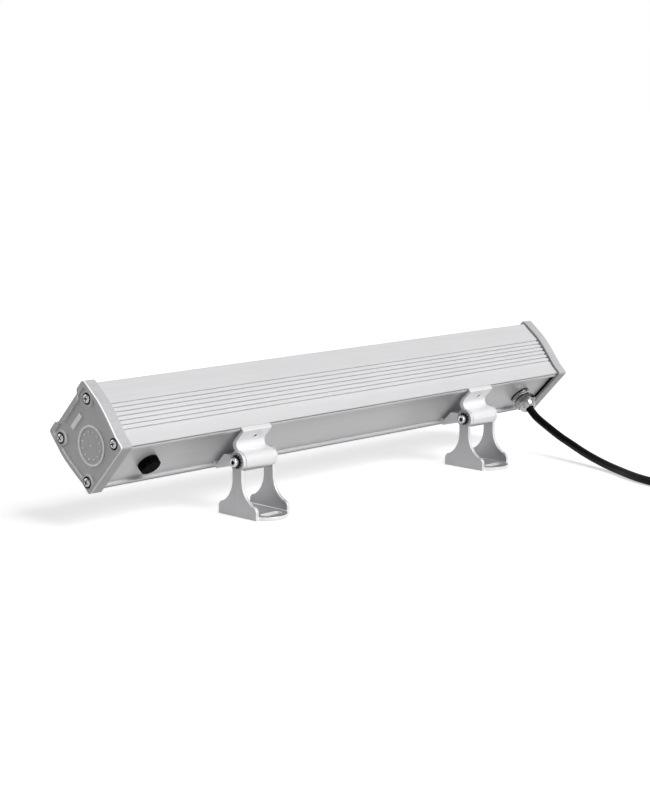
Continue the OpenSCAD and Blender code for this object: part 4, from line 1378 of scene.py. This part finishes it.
@dataclass
class CapScrews:
    """Four pan-head screws of one cap, with a black rubber ring round each head, which also paints
    the shade in its counterbore.
    """

    side: Side
    places: tuple[tuple[float, float], ...] = ((21.8, 6), (-21.8, 6), (22, 46.3), (-22, 46.3))
    seat: float = 248.6 * MM
    first_turn: float = 0.3
    turn_step: float = 0.7
    recess: tuple[float, float] = (2.1, 0.95)
    recess_floor: tuple[float, float] = (1.5, 0.7)

    def build(self, workshop: Workshop, light: LightPlace) -> None:
        """Makes the screws and their black rings, which also paint the counterbores' shade.

        Args:
            workshop: the finishes.
            light: where the light stands.
        """
        cut = Outline.cross(*self.recess)
        deep_cut = Outline.cross(*self.recess_floor)
        corners = Outline.cross_corners(*self.recess)
        # The cross recess, marked 1, is painted dark as its shade.
        screw = [
            (0.5, -20), *Outline.thread(1.6, -19.5, -1.5, 1.5, 0.3), (1.3, -0.5), (1.3, 0),
            (2.9, 0), (3.3, 0.25), (3.38, 0.9), (3.25, 1.55), (2.95, 2.05), (2.6, 2.3),
            (2.35, 2.38), (cut, 2.4, 1), (deep_cut, 1.2, 1),
        ]
        # Black rubber ring that also stands in for the shade in the counterbore round the head.
        ring = [(3.4, 0.05), (4.3, 0.05), (4.36, 0.9), (4.2, 1.45), (3.85, 1.68), (3.5, 1.5)]
        screws, rings = Shaper(), Shaper()
        for number, (across, height) in enumerate(self.places):
            stand = light.cap(self.side, self.seat, across * MM, height * MM)
            turned = Matrix.Rotation(self.first_turn + self.turn_step * number, 4, "Z")
            screws.shell(screw, corners, place=stand @ turned)
            rings.shell(ring, loop=True, place=stand)
        word = self.side.word
        workshop.fit(
            screws, f"{word}_pan_screws", "stainless_screw", LIGHT_BODY,
            (f"{word}_cap_screws",), extra=(PAINTED_SHADE_RECESS,),
        )
        workshop.fit(rings, f"{word}_screw_rings", "black_rubber", LIGHT_BODY, ())


@dataclass
class Swivel:
    """The bolt, washers and nut of one foot's swivel."""

    side: Side
    teeth: int = 12
    tooth: Point = (1.45, 1.3, 0.4)
    tooth_place: Point = (4.45 * MM, 0, -17.6 * MM)
    tooth_twist: float = math.radians(14)

    def star_washer(self) -> Shaper:
        """Shapes a washer with teeth that are each twisted out of its plane.

        Returns:
            The shaped mesh.
        """
        shaper = Shaper()
        shaper.shell([(2.2, -17.85), (4.05, -17.85), (4.05, -17.35), (2.2, -17.35)], loop=True)
        for number in range(self.teeth):
            stand = (
                Matrix.Rotation(TURN * number / self.teeth, 4, "Z")
                @ Matrix.Translation(self.tooth_place)
                @ Matrix.Rotation(self.tooth_twist, 4, "X")
                @ Matrix.Translation((0, 0, -self.tooth[2] / 2 * MM))
            )
            shaper.block(self.tooth, stand, 0.05)
        return shaper

    def build(self, workshop: Workshop, light: LightPlace) -> None:
        """Makes the bolt, the toothed washer, the plain washer and the nut.

        Args:
            workshop: the finishes.
            light: where the light stands.
        """
        word = self.side.word
        stand = light.swivel(self.side)
        body = f"{word}_foot"
        knurl = Outline.ribbed(3.5, 0.14, 40)
        socket = Outline.polygon(3.0)
        bolt = Shaper()
        # The socket, marked 1, is painted dark as its shade.
        bolt.shell([
            (1.5, 22.8), *reversed(Outline.thread(2.0, 8.1, 22.5, 0.72, 0.28)),
            (1.95, 7.5), (1.95, -18.0), (3.2, -18.0), (knurl, -18.3), (knurl, -20.9),
            (3.3, -21.2), (3.0, -21.4), (1.95, -21.4), (socket, -21.2, 1), (socket, -19.4, 1),
        ], sides=120)
        workshop.fit(
            bolt, f"{word}_knurled_bolt", "stainless_bolt", body, (f"{word}_swivel_bolt",), stand,
            (PAINTED_SHADE_RECESS,),
        )
        workshop.fit(
            self.star_washer(), f"{word}_star_washer", "stainless_washer", body,
            (f"{word}_toothed_washer",), stand, finish=BLACK_OXIDE,
        )
        flat = Shaper()
        flat.shell([
            (2.25, 17.25), (2.35, 17.2), (4.35, 17.2), (4.5, 17.35), (4.5, 17.85), (4.35, 18.0),
            (2.35, 18.0), (2.25, 17.95),
        ], loop=True)
        workshop.fit(
            flat, f"{word}_flat_washer", "stainless_washer", body, (f"{word}_plain_washer",), stand
        )
        nut = Shaper()
        # The bore, marked 1, is painted dark as its shade.
        nut.shell(Outline.nut(7.0, 18.0, 21.2, 2.02), loop=True)
        workshop.fit(
            nut, f"{word}_hexagon_nut", "stainless_bolt", body, (f"{word}_swivel_nut",), stand,
            (PAINTED_SHADE_RECESS,), edge=0.12 * MM,
        )


@dataclass
class LockScrew:
    """The headless screw that locks one clamp on its rails."""

    side: Side
    turn: float = 0.4

    def build(self, workshop: Workshop, light: LightPlace) -> None:
        """Makes the screw with its socket.

        Args:
            workshop: the finishes.
            light: where the light stands.
        """
        word = self.side.word
        socket = Outline.polygon(2.5)
        screw = Shaper()
        # The socket, marked 1, is painted dark as its shade.
        screw.shell([
            (1.5, -2.3), *Outline.thread(2.45, -1.7, 2.6, 0.72, 0.28), (2.4, 3.0), (2.15, 3.3),
            (1.6, 3.3), (socket, 3.1, 1), (socket, 1.4, 1),
        ], place=Matrix.Rotation(self.turn, 4, "Z"))
        workshop.fit(
            screw, f"{word}_socket_screw", "black_steel_screw", f"{word}_clamp",
            (f"{word}_lock_screw",), light.lock(self.side), (PAINTED_SHADE_RECESS,),
        )


@dataclass
class Gland:
    """The nickel-plated body and cap nut of the cable gland."""

    x: float = 213.3 * MM
    side: float = 3 * MM
    flats: float = 17.0
    cone: float = 8.1
    turn: float = math.radians(20)
    cap_turn: float = 0.45

    def build(self, workshop: Workshop, light: LightPlace) -> None:
        """Makes the body with its threads, and the cap nut with its crown.

        Args:
            workshop: the finishes.
            light: where the light stands.
        """
        stand = light.face(self.x, self.side)
        sides = Outline.polygon(self.flats)
        body = Shaper()
        # A groove under the hexagon, the top of the hexagon, the thread and the bore, marked 1, are
        # painted dark as their shade.
        body.shell([
            (3.9, -8.2), (6.4, -8.2), *Outline.thread(7.0, -8.0, 1.0, 1.5, 0.5), (6.6, 1.2),
            (8.7, 1.2), (8.8, 1.35), (8.8, 1.8), (8.5, 2.0, 1), (8.3, 2.05), (sides, 2.3),
            (sides, Outline.chamfer(self.flats, self.cone, 4.3, -1)), (self.cone, 4.3, 1),
            *[(*ring, 1) for ring in Outline.thread(6.4, 4.35, 9.0, 1.1, 0.4)], (6.0, 9.3, 1),
            (5.3, 9.3, 1), (5.3, 6.8, 1), (3.9, 6.8, 1),
        ], loop=True, place=Matrix.Rotation(self.turn, 4, "Z"))
        workshop.fit(
            body, "gland_flanged_body", "nickel_brass", LIGHT_BODY, ("gland_body",), stand,
            (PAINTED_SHADE_RECESS,), edge=0.15 * MM,
        )
        cap = Shaper()
        # The underside, a ring on top of the hexagon, the cable's mouth and the bore, marked 1, are
        # painted dark as their shade.
        cap.shell([
            (6.5, 4.9, 1), (self.cone, 4.9),
            (sides, Outline.chamfer(self.flats, self.cone, 4.9, 1)),
            (sides, Outline.chamfer(self.flats, self.cone, 11.07, -1)), (self.cone, 11.07, 1),
            (7.5, 11.15), (7.35, 11.9), (7.0, 13.6), (6.4, 15.0), (5.6, 15.8), (4.9, 16.0),
            (4.1, 15.9, 1), (3.65, 15.4, 1), (3.65, 11.2, 1), (6.5, 10.9, 1),
        ], loop=True, place=Matrix.Rotation(self.turn + self.cap_turn, 4, "Z"))
        workshop.fit(
            cap, "gland_crown_nut", "nickel_brass", LIGHT_BODY, ("gland_cap_nut",), stand,
            (PAINTED_SHADE_RECESS,), edge=0.15 * MM,
        )


@dataclass
class Vent:
    """The black cover of the pressure vent, with grips and air slots round it."""

    x: float = -208.5 * MM
    side: float = 2.4 * MM
    grips: int = 12
    slots: int = 6
    slot_reach: float = 7.2
    slot_depth: float = 1.6
    slot_wide: float = 1.7
    slot_nudge: float = 0.004

    def build(self, workshop: Workshop, light: LightPlace) -> None:
        """Makes the cover.

        Args:
            workshop: the finishes.
            light: where the light stands.
        """
        grip = Outline.ribbed(7.95, 0.75, self.grips)
        low_grip = Outline.ribbed(7.6, 0.6, self.grips)
        reach, wide = self.slot_reach, self.slot_wide
        slots = Outline.notched(reach, self.slot_depth, self.slots, wide)
        corners = tuple(
            TURN * slot / self.slots + way * wide / (2 * reach) + nudge
            for slot in range(self.slots) for way in (-1, 1)
            for nudge in (-self.slot_nudge, self.slot_nudge)
        )
        cover = Shaper()
        cover.shell([
            (5.2, 2.6), (reach, 2.6), (slots, 2.62), (slots, 3.5), (reach, 3.52), (grip, 3.6),
            (grip, 5.1), (low_grip, 5.6), (7.0, 5.9), (6.3, 6.0), (5.9, 6.0), (5.6, 5.75),
            (1.2, 5.75), (1.0, 5.9), (0.4, 5.95),
        ], corners, sides=144)
        workshop.fit(
            cover, "vent_grip_cover", "black_nylon", LIGHT_BODY, ("vent_cover",),
            light.face(self.x, self.side),
        )


@dataclass
class Optics:
    """The row of lenses and the LEDs under them."""

    count: int = 18
    pitch: float = 25.6 * MM
    board_top: float = 41.4 * MM
    petals: int = 12
    petal_rise: float = 0.22
    chip_wide: float = 3.5

    def petal(self, high: float) -> Reach:
        """The height of a lens's petalled face at an angle, over a height."""
        return lambda angle: high + self.petal_rise * abs(math.sin(self.petals * angle / 2))

    def build(self, workshop: Workshop, light: LightPlace) -> None:
        """Makes the lenses with their petalled faces, and the LEDs.

        Args:
            workshop: the finishes.
            light: where the light stands.
        """
        lens = [
            (0.4, 4.3), (1.6, 4.1), (2.4, 3.4), (2.4, 1.6), (4.4, 1.6, 1), (5.5, 3.1, 1),
            (6.6, 5.0, 1), (7.7, 6.9, 1), (8.64, 8.2), (9.55, 8.2), (9.55, 8.85), (9.4, 9.0),
            (8.9, 9.0), (8.6, 8.55), (8.2, self.petal(8.5)), (6.2, self.petal(8.6)),
            (4.4, self.petal(8.55)), (3.9, 8.4), (3.5, 8.4), (3.2, 8.62), (2.4, 8.8),
            (1.2, 8.95), (0.4, 9.0),
        ]
        square = Outline.polygon(self.chip_wide, 4, TURN / 8)
        eased = Outline.polygon(self.chip_wide - 0.2, 4, TURN / 8)
        chip = [
            (eased, 0), (square, 0.1), (square, 0.5), (eased, 0.6, 1), (1.5, 0.6, 1), (1.3, 0.7, 1),
            (1.15, 1.2, 1), (0.8, 1.6, 1), (0.3, 1.85, 1),
        ]
        lenses, chips = Shaper(), Shaper()
        for number in range(self.count):
            along = (number - (self.count - 1) / 2) * self.pitch
            stand = light.section(light.shift + along) @ Matrix.Translation((0, 0, self.board_top))
            lenses.shell(lens, place=stand, sides=48)
            chips.shell(chip, place=stand, sides=24)
        workshop.fit(
            lenses, "petal_lenses", "clear_lens", LIGHT_BODY, ("lenses",), extra=(FROSTED_CONE,)
        )
        workshop.fit(
            chips, "led_chips", "led_phosphor", LIGHT_BODY, ("led_emitters",),
            extra=(workshop.finishes["led_phosphor"],), finish=CERAMIC,
        )


def main() -> None:
    """Builds the scene in its order: camera and cable, finishes, small parts, studio."""
    logging.basicConfig(level=logging.INFO, format="%(message)s")
    nodes = frame["nodes"]
    workshop = Workshop()
    studio = Studio()
    studio.set_camera()
    SupplyCable().build(workshop)
    workshop.dress_nodes(frame["record"], nodes)
    for edge in EDGES:
        edge.apply_to(nodes)
    light = LightPlace()
    for side in Side:
        CapScrews(side).build(workshop, light)
        Swivel(side).build(workshop, light)
        LockScrew(side).build(workshop, light)
    Optics().build(workshop, light)
    Gland().build(workshop, light)
    Vent().build(workshop, light)
    studio.lay_floor()
    studio.light()


if __name__ == "__main__":
    main()
